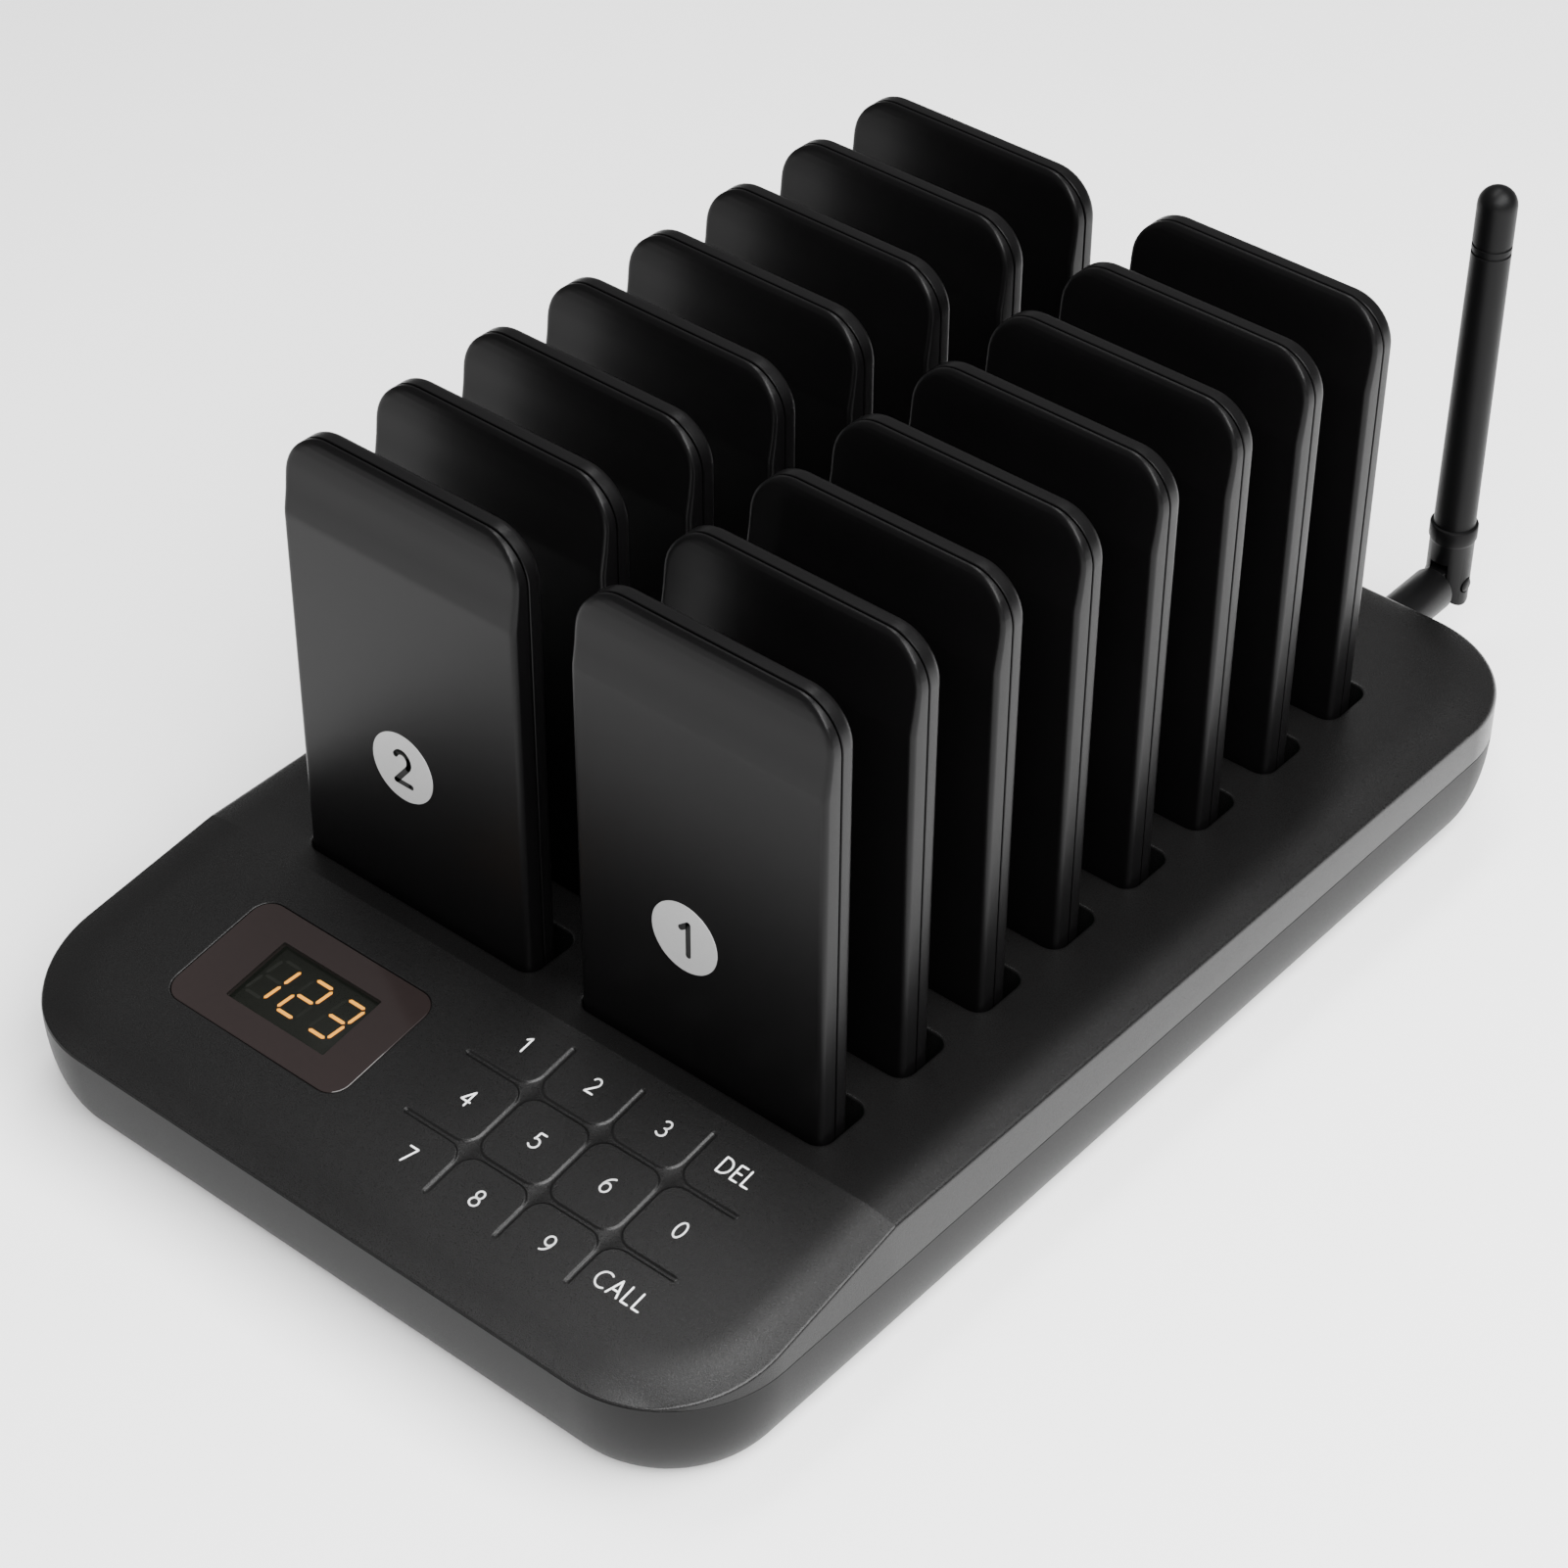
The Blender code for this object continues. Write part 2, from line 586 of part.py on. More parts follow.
def make_antenna_swivel(pivot):
    """The stub that screws onto the socket, its flat tongue and the hinge pin pressed into it."""
    length = HINGE_Y - KNUCKLE_RADIUS - FORK_CLEARANCE - STUB_FRONT_Y
    middle = STUB_FRONT_Y + length / 2 - HINGE_Y
    stub = cylinder_mesh("antenna_swivel", STUB_RADIUS, length, "Y", 24, (0, middle, 0))
    swivel = place(stub, "antenna_swivel", PARTS, ANTENNA_BLACK)
    swivel.parent = pivot
    at = pivot.location
    bm = bmesh.new()
    add_box(bm, (2 * TONGUE_HALF, TONGUE_REACH, 2 * TONGUE_RADIUS), (0, -TONGUE_REACH / 2, 0))
    boolean(swivel, helper(mesh_from(bm, "tongue"), "tongue", at), "UNION")
    eye = cylinder_mesh("tongue_eye", TONGUE_RADIUS, 2 * TONGUE_HALF, "X", 20)
    boolean(swivel, helper(eye, "tongue_eye", at), "UNION")
    pin = cylinder_mesh("hinge_pin", PIN_RADIUS, 2 * CHEEK_HALF + 0.0008, "X", 12)
    boolean(swivel, helper(pin, "hinge_pin", at), "UNION")
    bore_at = (at[0], STUB_FRONT_Y + STUB_BORE_LENGTH / 2 - 0.001, at[2])
    bore = cylinder_mesh("stub_bore", SOCKET_RADIUS + GAP, STUB_BORE_LENGTH, "Y", 16)
    boolean(swivel, helper(bore, "stub_bore", bore_at), "DIFFERENCE")
    smooth(swivel.data)


def fork_mesh():
    """A block with a half-round foot, as wide across the hinge as it is deep, before its slot is cut."""
    outline = [(-FORK_RISE, KNUCKLE_RADIUS)]
    for step in range(13):
        angle = math.radians(90 - 15 * step)
        outline.append((KNUCKLE_RADIUS * math.cos(angle), KNUCKLE_RADIUS * math.sin(angle)))
    outline.append((-FORK_RISE, -KNUCKLE_RADIUS))
    bm = bmesh.new()
    add_prism(bm, outline, -CHEEK_HALF, CHEEK_HALF)
    bmesh.ops.rotate(bm, verts=bm.verts, matrix=Matrix.Rotation(math.pi / 2, 3, "Y"))
    return mesh_from(bm, "fork")


def make_antenna_mast(pivot):
    """The upright mast: a turned, tapering rod with a collar, on a fork that straddles the tongue."""
    rise = MAST_TOP_HEIGHT - ANTENNA_AXIS_HEIGHT
    profile = [(0.0, rise)]
    for angle in (35, 65, 90):
        turn = math.radians(angle)
        profile.append((TIP_RADIUS * math.sin(turn), rise - TIP_RADIUS * (1 - math.cos(turn))))
    profile += [(0.0045, 0.0145), (COLLAR_RADIUS, 0.0140), (COLLAR_RADIUS, 0.0110)]
    profile += [(FORK_RADIUS, 0.0100), (FORK_RADIUS, 0.0050), (0.0, 0.0050)]
    bm = bmesh.new()
    corners = [bm.verts.new((radius, 0, height)) for radius, height in profile]
    for first, second in zip(corners, corners[1:]):
        bm.edges.new((first, second))
    mesh = bpy.data.meshes.new("antenna_mast")
    bm.to_mesh(mesh)
    bm.free()
    mast = place(mesh, "antenna_mast", PARTS, ANTENNA_BLACK)
    mast.parent = pivot
    turned = mast.modifiers.new("turned", "SCREW")
    turned.steps = 24
    turned.render_steps = 24
    turned.use_merge_vertices = True
    turned.merge_threshold = 0.00001
    at = pivot.location
    boolean(mast, helper(fork_mesh(), "fork", at), "UNION")
    bm = bmesh.new()
    height = KNUCKLE_RADIUS + 0.0010
    slot_size = (2 * (TONGUE_HALF + GAP), CUT_REACH, height + FORK_SLOT_TOP)
    add_box(bm, slot_size, (0, 0, (FORK_SLOT_TOP - height) / 2))
    boolean(mast, helper(mesh_from(bm, "fork_slot"), "fork_slot", at), "DIFFERENCE")
    hole = cylinder_mesh("pin_hole", PIN_RADIUS + GAP, CUT_REACH, "X", 12)
    boolean(mast, helper(hole, "pin_hole", at), "DIFFERENCE")
    smooth(mast.data)


clear_scene()
PARTS = new_collection("guest_paging_station")
CUTTERS = new_collection("cutters")
CASE_BLACK = material("case_black", (0.028, 0.028, 0.029), 0.55)
CASE_GREY = material("case_grey", (0.045, 0.045, 0.046), 0.55)
PAGER_BLACK = material("pager_black", (0.012, 0.012, 0.013), 0.32)
LENS_SMOKE = material("lens_smoke", (0.030, 0.022, 0.022), 0.12)
MODULE_BLACK = material("module_black", (0.010, 0.010, 0.010), 0.45)
BOARD_GREEN = material("board_green", (0.020, 0.110, 0.045), 0.45)
CONNECTOR_BLACK = material("connector_black", (0.015, 0.015, 0.015), 0.50)
FOOT_RUBBER = material("foot_rubber", (0.020, 0.020, 0.020), 0.85)
ANTENNA_BLACK = material("antenna_black", (0.020, 0.020, 0.021), 0.45)
BRASS = material("socket_brass", (0.750, 0.560, 0.240), 0.30, 1.0)

make_top_shell()
make_bottom_tray()
make_charging_board()
make_control_board()
make_display()
make_power_inlet()
make_feet()
make_pagers()
make_antenna_socket()
SWIVEL_AXIS = antenna_empty("antenna_axis", HINGE_Y)
make_antenna_swivel(SWIVEL_AXIS)
make_antenna_mast(SWIVEL_AXIS)
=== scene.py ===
"""Finished look of a guest paging station: a charging base with a sloped keypad and display, sixteen
lift-out pagers and a folding antenna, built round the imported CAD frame. Lengths are in metres."""

import json
import math

import bmesh
import bpy
from mathutils import Matrix, Vector


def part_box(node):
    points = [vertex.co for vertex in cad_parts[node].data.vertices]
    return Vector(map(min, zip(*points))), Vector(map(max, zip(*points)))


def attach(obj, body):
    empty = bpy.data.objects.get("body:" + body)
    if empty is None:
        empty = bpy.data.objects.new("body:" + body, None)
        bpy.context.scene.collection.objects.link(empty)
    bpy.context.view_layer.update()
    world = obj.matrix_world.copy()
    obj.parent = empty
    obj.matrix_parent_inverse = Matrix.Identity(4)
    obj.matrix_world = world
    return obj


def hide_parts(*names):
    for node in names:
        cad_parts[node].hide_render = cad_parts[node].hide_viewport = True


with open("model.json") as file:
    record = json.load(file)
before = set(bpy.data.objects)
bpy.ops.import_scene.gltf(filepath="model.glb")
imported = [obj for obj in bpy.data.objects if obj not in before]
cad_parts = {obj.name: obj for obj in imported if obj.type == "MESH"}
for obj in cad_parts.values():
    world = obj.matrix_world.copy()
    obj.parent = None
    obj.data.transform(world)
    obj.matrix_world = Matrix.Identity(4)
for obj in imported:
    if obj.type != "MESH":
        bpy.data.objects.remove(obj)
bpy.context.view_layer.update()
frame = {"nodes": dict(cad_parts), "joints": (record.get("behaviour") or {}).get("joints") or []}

bl_info = {
    "name": "Guest Paging Station",
    "version": (1, 0, 0),
    "blender": (4, 5, 0),
    "location": "View3D > Sidebar > Paging Station",
    "description": "Builds the detailed case, keypad, display, pagers and antenna of a guest paging station",
    "category": "Object",
}

MM = 0.001

# Places taken from the CAD frame
LID_LOW, LID_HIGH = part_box("base_top_shell")
TRAY_LOW, TRAY_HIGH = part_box("base_bottom_tray")
LENS_LOW, LENS_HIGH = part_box("display_lens")
PAGER_LOW, PAGER_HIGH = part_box("pager_01_front_shell")
BACK_LOW, BACK_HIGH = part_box("pager_01_back_shell")
BOARD_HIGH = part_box("charging_board")[1]
MAST_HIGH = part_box("antenna_mast")[1]
FOLD = next(joint for joint in frame["joints"] if joint["name"] == "antenna_fold")
HINGE = Vector(FOLD["pos_m"])
BASE_SIZE = (LID_HIGH.x - LID_LOW.x, LID_HIGH.y - LID_LOW.y)
BASE_MIDDLE_Y = (LID_HIGH.y + LID_LOW.y) / 2
DECK = LID_HIGH.z
PARTING = TRAY_HIGH.z + 0.15 * MM
CREASE_Y = LID_LOW.y + 55.3 * MM
SEAM_Y = (PAGER_HIGH.y + BACK_LOW.y) / 2
PAGER_X = (PAGER_LOW.x + PAGER_HIGH.x) / 2
PAGER_SIZE = (PAGER_HIGH.x - PAGER_LOW.x, PAGER_HIGH.z - PAGER_LOW.z)
FRONT_DEPTH = SEAM_Y - PAGER_LOW.y
BACK_DEPTH = BACK_HIGH.y - SEAM_Y
ROW_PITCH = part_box("pager_03_front_shell")[0].y - PAGER_LOW.y
ROWS = 8
LENS_X = (LENS_LOW.x + LENS_HIGH.x) / 2
LENS_Y = LID_LOW.y + 32.8 * MM
JACK = Vector((-48.0 * MM, LID_HIGH.y, 12.5 * MM))

# The base: its panel, edge, parting line and tray
PANEL_SLOPE = 0.165
PANEL_ANGLE = math.atan(PANEL_SLOPE)
LID_FOOT = PARTING + 0.08 * MM
TRAY_RIM = PARTING - 0.08 * MM
EDGE_LIP = 0.30 * MM
LEAN_FADE = (BASE_MIDDLE_Y - 45 * MM, BASE_MIDDLE_Y + 60 * MM)
RIM_BAND = 2.6 * MM
TRAY_CURVE = 7.0 * MM
TRAY_STEPS = 14
TRAY_LIP = 0.06 * MM
TRAY_LIP_SCALE = (1 - 0.0007, 1 - 0.0005)
NECK_HOLE = 3.6 * MM
JACK_HOLE = 4.3 * MM
NOTCH_STEPS = 12

# The lid's plan: rings in from its edge (mm), slots, key grooves and the lens's seat
CORNER_STEPS = 28
EDGE_RINGS = (0.04, 0.12, 0.25, 0.45, 0.7, 1.0, 1.25, 2.0, 3.0, 4.5, 6.0, 8.0, 10.0, 11.0)
PANEL_CUTS = (5, 6 * MM)
SLOT_SIZE = (56.6 * MM, 13.3 * MM)
SLOT_CENTRE = 1.95 * MM
SLOT_RADIUS = 3.0 * MM
SLOT_HOLD = 0.5 * MM
SLOT_RIM = ((0.42, 0.09), (0.71, 0.29), (0.91, 0.58), (1.0, 1.0))
GROOVES_X = (12.95 * MM, 29.2 * MM, 45.45 * MM)
GROOVES_Y = (SEAM_Y - 39.65 * MM, SEAM_Y - 24.15 * MM)
GROOVE_ENDS_X = (-2.7 * MM, 60.6 * MM)
GROOVE_ENDS_Y = (SEAM_Y - 51.1 * MM, SEAM_Y - 12.4 * MM)
GROOVE_HOLD = 0.12 * MM
GROOVE_PROFILE = ((0.0, 0.0), (0.14, 0.05), (0.28, 0.28), (0.45, 0.75), (0.60, 0.95), (0.74, 1.0))
LENS_SIZE = (43.7 * MM, 26.9 * MM)
LENS_RADIUS = 4.0 * MM
SEAT_GAP = 0.15 * MM
SEAT_RIM = 0.4 * MM
SEAT_FILLET = ((0.2 * MM, 0.0), (0.3 * MM, -0.02 * MM), (0.37 * MM, -0.08 * MM), (SEAT_RIM, -0.2 * MM))
SEAT_DEPTH = 1.3 * MM
LEDGE_WIDTH = 2.2 * MM

# The key legends and the display's digits
LETTER_SPACE = 0.30
LEGENDS = (("1", "2", "3", "DEL"), ("4", "5", "6", "0"), ("7", "8", "9", "CALL"))
LEGEND_X = (5.1 * MM, 21.4 * MM, 37.7 * MM, 54.1 * MM)
LEGEND_Y = (SEAM_Y - 17.1 * MM, SEAM_Y - 31.6 * MM, SEAM_Y - 46.5 * MM)
INK = 0.03 * MM
WINDOW_SHIFT = 0.9 * MM
WINDOW_RADIUS = 0.3 * MM
LENS_THICKNESS = 1.0 * MM
LENS_BEVEL = (0.12 * MM, 0.10 * MM)
MODULE_SIZE = (24.0 * MM, 14.6 * MM, 7.2 * MM)
MODULE_DEPTH = 1.6 * MM
SEGMENTS = {
    "0": "abcdef", "1": "bc", "2": "abged", "3": "abgcd", "4": "fgbc",
    "5": "afgcd", "6": "afgedc", "7": "abc", "8": "abcdefg", "9": "abcdfg",
}
SEGMENT_WIDTH = 0.72 * MM
SEGMENT_TRIM = 0.36 * MM
SEGMENT_RIM = 0.42
SEGMENT_THICKNESS = 0.05 * MM
DIGIT_HALF = (2.32 * MM, 4.50 * MM)
DIGIT_PITCH = 8.05 * MM
DIGIT_SLANT = 0.143
DIGITS_AT = (-35.72 * MM, SEAM_Y - 31.35 * MM)

# The pagers: their seam, back pocket, contacts and labels, and the front's slope as (share of the shoulder,
# share of the depth)
SEAM_HALF = 0.20 * MM
SEAM_ROUND = 0.12 * MM
POCKET_INSET = 1.35 * MM
POCKET_FLOOR = 2.6 * MM
SLOPE_BACK = (
    (0.0, 1.0), (0.04, 0.998), (0.09, 0.985), (0.31, 0.805), (0.63, 0.635),
    (0.80, 0.520), (0.89, 0.425), (0.95, 0.340), (0.985, 0.270), (1.0, 0.220),
)
CONTACT_SIZE = (4.0 * MM, 1.6 * MM, 0.16 * MM)
CONTACT_X = 9.0 * MM
CONTACT_Y = 1.9 * MM
LABELS = {"pager_01": ("1", -2.85 * MM, 61.0 * MM), "pager_02": ("2", -1.5 * MM, 63.0 * MM)}
LABEL_THICKNESS = 0.12 * MM
LABEL_EDGE = 0.05 * MM
NUMERAL_HEIGHT = 6.9 * MM
NUMERAL_STROKE = 1.15 * MM

# The antenna. Profiles are (radius, place along the axis from the fold's hinge); the tongue's and the
# hinge pin's are in millimetres.
ROUND_STEPS = 48
KNUCKLE = 4.8 * MM
KNUCKLE_DEPTH = 1.2
FORK_GAP = 4.2 * MM
FORK_HEIGHT = 10.6 * MM
FORK_TOP = 5.8 * MM
PIN_HOLE = 1.8 * MM
MAST_FOOT = -6.0 * MM
MAST_TAPER = ((4.40 * MM, 14.2 * MM), (4.38 * MM, 17.0 * MM), (4.30 * MM, 32.0 * MM))
TAPER_END = 77.0 * MM
TIP_GROOVES = (79.2 * MM, 80.9 * MM)
STUB_RADIUS = 4.8 * MM
STUB_NECK = (3.4 * MM, 3.0 * MM)
STUB_END = -5.4 * MM
TONGUE = ((0, -1.8), (4.0, -1.8), (4.2, -1.6), (4.2, 1.6), (4.0, 1.8), (0, 1.8))
TONGUE_ROOT = (3.6 * MM, 8.0 * MM, 8.2 * MM)
HINGE_PIN = ((0, -4.95), (1.2, -4.95), (1.5, -4.7), (1.5, 4.7), (1.2, 4.95), (0, 4.95))

# The charging pins' and the inlet pin's profiles: (radius, place along the axis), in millimetres
CHARGING_PIN = ((0, -0.1), (1.6, -0.1), (1.6, 0.06), (0.8, 0.10), (0.7, 0.16), (0, 0.18))
INLET_PIN = ((0, -9.0), (0.7, -9.0), (0.7, -3.0), (0.5, -2.6), (0, -2.5))

# The camera: its place, the directions of its frame, its focal length in millimetres and its shift
CAMERA_PLACE = (0.365480, -0.455361, 0.503399)
CAMERA_RIGHT = (0.774119, 0.632728, 0.019865)
CAMERA_DOWN = (0.402967, -0.468327, -0.786313)
CAMERA_AHEAD = (-0.488219, 0.616705, -0.617509)
CAMERA_LENS = 90.465
CAMERA_SHIFT = (-0.0585, -0.0483)


def length(name, value, description, **more):
    return bpy.props.FloatProperty(
        name=name, description=description, default=value, min=0.0, subtype="DISTANCE", unit="LENGTH",
        precision=5, **more
    )


def colour(name, value, description):
    return bpy.props.FloatVectorProperty(
        name=name, description=description, default=value, size=3, min=0.0, max=1.0, subtype="COLOR"
    )


class PagingCaseSettings(bpy.types.PropertyGroup):
    """Shape and finish of the base's lid and tray."""

    corner_radius: length("Corner radius", 25.0 * MM, "Radius of the base's four upright corners")
    edge_fillet: length("Edge fillet", 0.45 * MM, "Rounding between the lid's top and its side wall")
    rear_fillet: length("Rear fillet", 1.3 * MM, "The same rounding at the rear of the base")
    draft: bpy.props.FloatProperty(
        name="Draft", description="How far the lid's front walls lean in for each unit of height",
        default=0.17, min=0.0,
    )
    roll_width: length("Roll width", 10.0 * MM, "Width of the band along which the top falls away")
    roll_drop: length("Roll drop", 1.3 * MM, "How far the top has fallen at the outer edge")
    slot_fillet: length("Slot fillet", 0.5 * MM, "Rounding of each slot's rim")
    lid_wall: length("Lid wall", 1.2 * MM, "Thickness of the lid's walls")
    tray_wall: length("Tray wall", 2.0 * MM, "Thickness of the tray's walls")
    lid_colour: colour("Lid colour", (0.0035, 0.0034, 0.0034), "Moulded colour of the lid")
    tray_colour: colour("Tray colour", (0.0020, 0.0020, 0.0020), "Moulded colour of the tray")


class PagingKeySettings(bpy.types.PropertyGroup):
    """Touch keys: moulded grooves and printed legends."""

    groove_width: length("Groove width", 1.4 * MM, "Width of the grooves between keys, rim to rim")
    groove_depth: length("Groove depth", 0.32 * MM, "Depth of the grooves between keys")
    key_radius: length("Key radius", 3.0 * MM, "Corner radius of a key where two grooves cross")
    legend_height: length("Legend height", 3.35 * MM, "Height of a legend along the middle of its strokes")
    legend_stroke: length("Legend stroke", 0.34 * MM, "Stroke width of a legend")
    ink_colour: colour("Ink colour", (0.86, 0.86, 0.86), "Colour of the printed legends")


class PagingDisplaySettings(bpy.types.PropertyGroup):
    """Display lens, its clear window and the digits behind it."""

    window_width: length("Window width", 24.6 * MM, "Width of the clear window in the lens")
    window_length: length("Window length", 15.0 * MM, "Length of the clear window along the slope")
    digit_depth: length("Digit depth", 1.55 * MM, "How far the digits lie under the lens's surface")
    number: bpy.props.StringProperty(name="Number", description="Digits that are lit", default="123")
    lens_colour: colour("Lens colour", (0.0130, 0.0095, 0.0092), "Print on the back of the lens")
    lit_colour: colour("Lit colour", (1.0, 0.40, 0.03), "Colour of the middle of a lit segment")


class PagingPagerSettings(bpy.types.PropertyGroup):
    """The pagers' cases and their number labels."""

    top_radius: length("Top radius", 9.0 * MM, "Radius of a pager's upper corners")
    bottom_radius: length("Bottom radius", 5.0 * MM, "Radius of a pager's lower corners")
    front_fillet: length("Front fillet", 1.1 * MM, "Rounding round the front face")
    back_fillet: length("Back fillet", 1.6 * MM, "Rounding round the back face")
    shoulder: length("Shoulder", 17.6 * MM, "Distance from the top at which the front starts to slope back")
    label_diameter: length("Label diameter", 14.7 * MM, "Diameter of the number label")
    case_colour: colour("Case colour", (0.0018, 0.0017, 0.0018), "Moulded colour of a pager")
    label_colour: colour("Label colour", (0.38, 0.38, 0.38), "Colour of the number label")


class PagingAntennaSettings(bpy.types.PropertyGroup):
    """The folding antenna."""

    tip_radius: length("Tip radius", 4.05 * MM, "Radius of the mast under its rounded tip")
    foot_radius: length("Foot radius", 4.7 * MM, "Radius of the mast's forked foot")
    collar_radius: length("Collar radius", 5.05 * MM, "Radius of the collar above the fork")
    antenna_colour: colour("Antenna colour", (0.0018, 0.0018, 0.0019), "Moulded colour of the antenna")


class PagingStageSettings(bpy.types.PropertyGroup):
    """Floor, lights and camera."""

    floor_size: length("Floor size", 6.0, "Side of the square floor")
    sky: bpy.props.FloatProperty(
        name="Sky", description="Brightness of the surroundings", default=0.40, min=0.0,
    )
    softbox_place: bpy.props.FloatVectorProperty(
        name="Softbox place", description="Middle of the overhead light, which faces straight down",
        default=(0.85, -0.35, 1.0), size=3, subtype="TRANSLATION", unit="LENGTH",
    )
    softbox_size: bpy.props.FloatVectorProperty(
        name="Softbox size", description="Width and length of the overhead light",
        default=(1.15, 1.70), size=2, min=0.0, unit="LENGTH",
    )
    strip_place: bpy.props.FloatVectorProperty(
        name="Strip place", description="Middle of the narrow overhead light that picks out the rolled edge",
        default=(-0.17, 0.22, 1.0), size=3, subtype="TRANSLATION", unit="LENGTH",
    )
    strip_size: bpy.props.FloatVectorProperty(
        name="Strip size", description="Width and length of the narrow light",
        default=(0.22, 0.85), size=2, min=0.0, unit="LENGTH",
    )
    strip_power: bpy.props.FloatProperty(
        name="Strip power", description="Power of the narrow light",
        default=9.0, min=0.0, subtype="POWER", unit="POWER",
    )
    key_power: bpy.props.FloatProperty(
        name="Key power", description="Power of the overhead light",
        default=95.0, min=0.0, subtype="POWER", unit="POWER",
    )


# Finishes

def moulded(name, tint, roughness, spread, grain, relief, drift=0.12, shine=0.2):
    """Moulded plastic or rubber: a fine grain in relief and in roughness, and a faint drift of colour."""
    made = bpy.data.materials.new(name)
    made.use_nodes = True
    nodes, links = made.node_tree.nodes, made.node_tree.links
    shader = nodes["Principled BSDF"]
    shader.inputs["Specular IOR Level"].default_value = shine
    place = nodes.new("ShaderNodeTexCoord")
    fine = nodes.new("ShaderNodeTexNoise")
    fine.inputs["Scale"].default_value = 1 / grain
    fine.inputs["Detail"].default_value = 3.0
    broad = nodes.new("ShaderNodeTexNoise")
    broad.inputs["Scale"].default_value = 38.0
    broad.inputs["Detail"].default_value = 4.0
    for noise in (fine, broad):
        links.new(place.outputs["Object"], noise.inputs["Vector"])
    bump = nodes.new("ShaderNodeBump")
    bump.inputs["Strength"].default_value = 1.0
    bump.inputs["Distance"].default_value = relief
    links.new(fine.outputs["Fac"], bump.inputs["Height"])
    links.new(bump.outputs["Normal"], shader.inputs["Normal"])
    rough = nodes.new("ShaderNodeMapRange")
    rough.inputs["From Min"].default_value = 0.3
    rough.inputs["From Max"].default_value = 0.7
    rough.inputs["To Min"].default_value = roughness - spread
    rough.inputs["To Max"].default_value = roughness + spread
    links.new(fine.outputs["Fac"], rough.inputs["Value"])
    links.new(rough.outputs["Result"], shader.inputs["Roughness"])
    ramp = nodes.new("ShaderNodeValToRGB")
    for stop, position, factor in ((0, 0.3, 1 - drift), (1, 0.7, 1 + drift)):
        ramp.color_ramp.elements[stop].position = position
        ramp.color_ramp.elements[stop].color = (*[channel * factor for channel in tint], 1)
    links.new(broad.outputs["Fac"], ramp.inputs["Fac"])
    links.new(ramp.outputs["Color"], shader.inputs["Base Color"])
    return made


def polished(name, tint, roughness, metallic=0.0, haze_scale=900.0, shine=0.5):
    """Smooth material whose roughness varies a little, as with handling."""
    made = bpy.data.materials.new(name)
    made.use_nodes = True
    nodes, links = made.node_tree.nodes, made.node_tree.links
    shader = nodes["Principled BSDF"]
    shader.inputs["Metallic"].default_value = metallic
    shader.inputs["Specular IOR Level"].default_value = shine
    place = nodes.new("ShaderNodeTexCoord")
    haze = nodes.new("ShaderNodeTexNoise")
    haze.inputs["Scale"].default_value = haze_scale
    haze.inputs["Detail"].default_value = 4.0
    links.new(place.outputs["Object"], haze.inputs["Vector"])
    rough = nodes.new("ShaderNodeMapRange")
    rough.inputs["To Min"].default_value = roughness * 0.8
    rough.inputs["To Max"].default_value = roughness * 1.3
    links.new(haze.outputs["Fac"], rough.inputs["Value"])
    links.new(rough.outputs["Result"], shader.inputs["Roughness"])
    ramp = nodes.new("ShaderNodeValToRGB")
    for stop, factor in ((0, 0.92), (1, 1.06)):
        ramp.color_ramp.elements[stop].color = (*[min(channel * factor, 1) for channel in tint], 1)
    links.new(haze.outputs["Fac"], ramp.inputs["Fac"])
    links.new(ramp.outputs["Color"], shader.inputs["Base Color"])
    return made


def glowing(name, tint, strength):
    made = polished(name, tint, 0.4)
    shader = made.node_tree.nodes["Principled BSDF"]
    shader.inputs["Emission Color"].default_value = (*tint, 1)
    shader.inputs["Emission Strength"].default_value = strength
    return made


# Shaping tools

def round_corners(bm, corners, radius, steps):
    """Rounds corners of a flat face and returns the face."""
    made = bmesh.ops.bevel(
        bm, geom=corners, offset=radius, offset_type="OFFSET", segments=steps, profile=0.5,
        affect="VERTICES", material=-1,
    )
    return made["verts"][0].link_faces[0]


def rounded_face(bm, size, radii, steps, centre=(0.0, 0.0)):
    """A flat rounded rectangle; radii are those of its near pair and its far pair of corners."""
    half_x, half_y = size[0] / 2, size[1] / 2
    near = [bm.verts.new((centre[0] + side * half_x, centre[1] - half_y, 0)) for side in (-1, 1)]
    far = [bm.verts.new((centre[0] + side * half_x, centre[1] + half_y, 0)) for side in (1, -1)]
    bm.faces.new(near + far)
    round_corners(bm, near, radii[0], steps)
    return round_corners(bm, far, radii[1], steps)


def inset(bm, faces, distance):
    bmesh.ops.inset_region(
        bm, faces=faces, thickness=distance, use_boundary=True, use_even_offset=True
    )


def sink(bm, faces, steps):
    """Insets flat faces ring by ring. Each step is the distance in from the first outline, and the height."""
    reached = 0.0
    for distance, height in steps:
        if distance > reached:
            inset(bm, faces, distance - reached)
            reached = distance
        for corner in {corner for face in faces for corner in face.verts}:
            corner.co.z = height


def pushed(bm, face, offset):
    """Extrudes a face by an offset and returns the moved face."""
    grown = bmesh.ops.extrude_face_region(bm, geom=[face])
    corners = [piece for piece in grown["geom"] if isinstance(piece, bmesh.types.BMVert)]
    bmesh.ops.translate(bm, verts=corners, vec=offset)
    if face.is_valid:
        bmesh.ops.delete(bm, geom=[face], context="FACES_ONLY")
    return next(piece for piece in grown["geom"] if isinstance(piece, bmesh.types.BMFace))


def cut_across(bm, y):
    """Adds edges to a bmesh where the plane at a y crosses it."""
    everything = bm.verts[:] + bm.edges[:] + bm.faces[:]
    bmesh.ops.bisect_plane(bm, geom=everything, plane_co=(0, y, 0), plane_no=(0, 1, 0))


def in_mm(profile):
    """A profile written in millimetres, in metres."""
    return [(radius * MM, height * MM) for radius, height in profile]


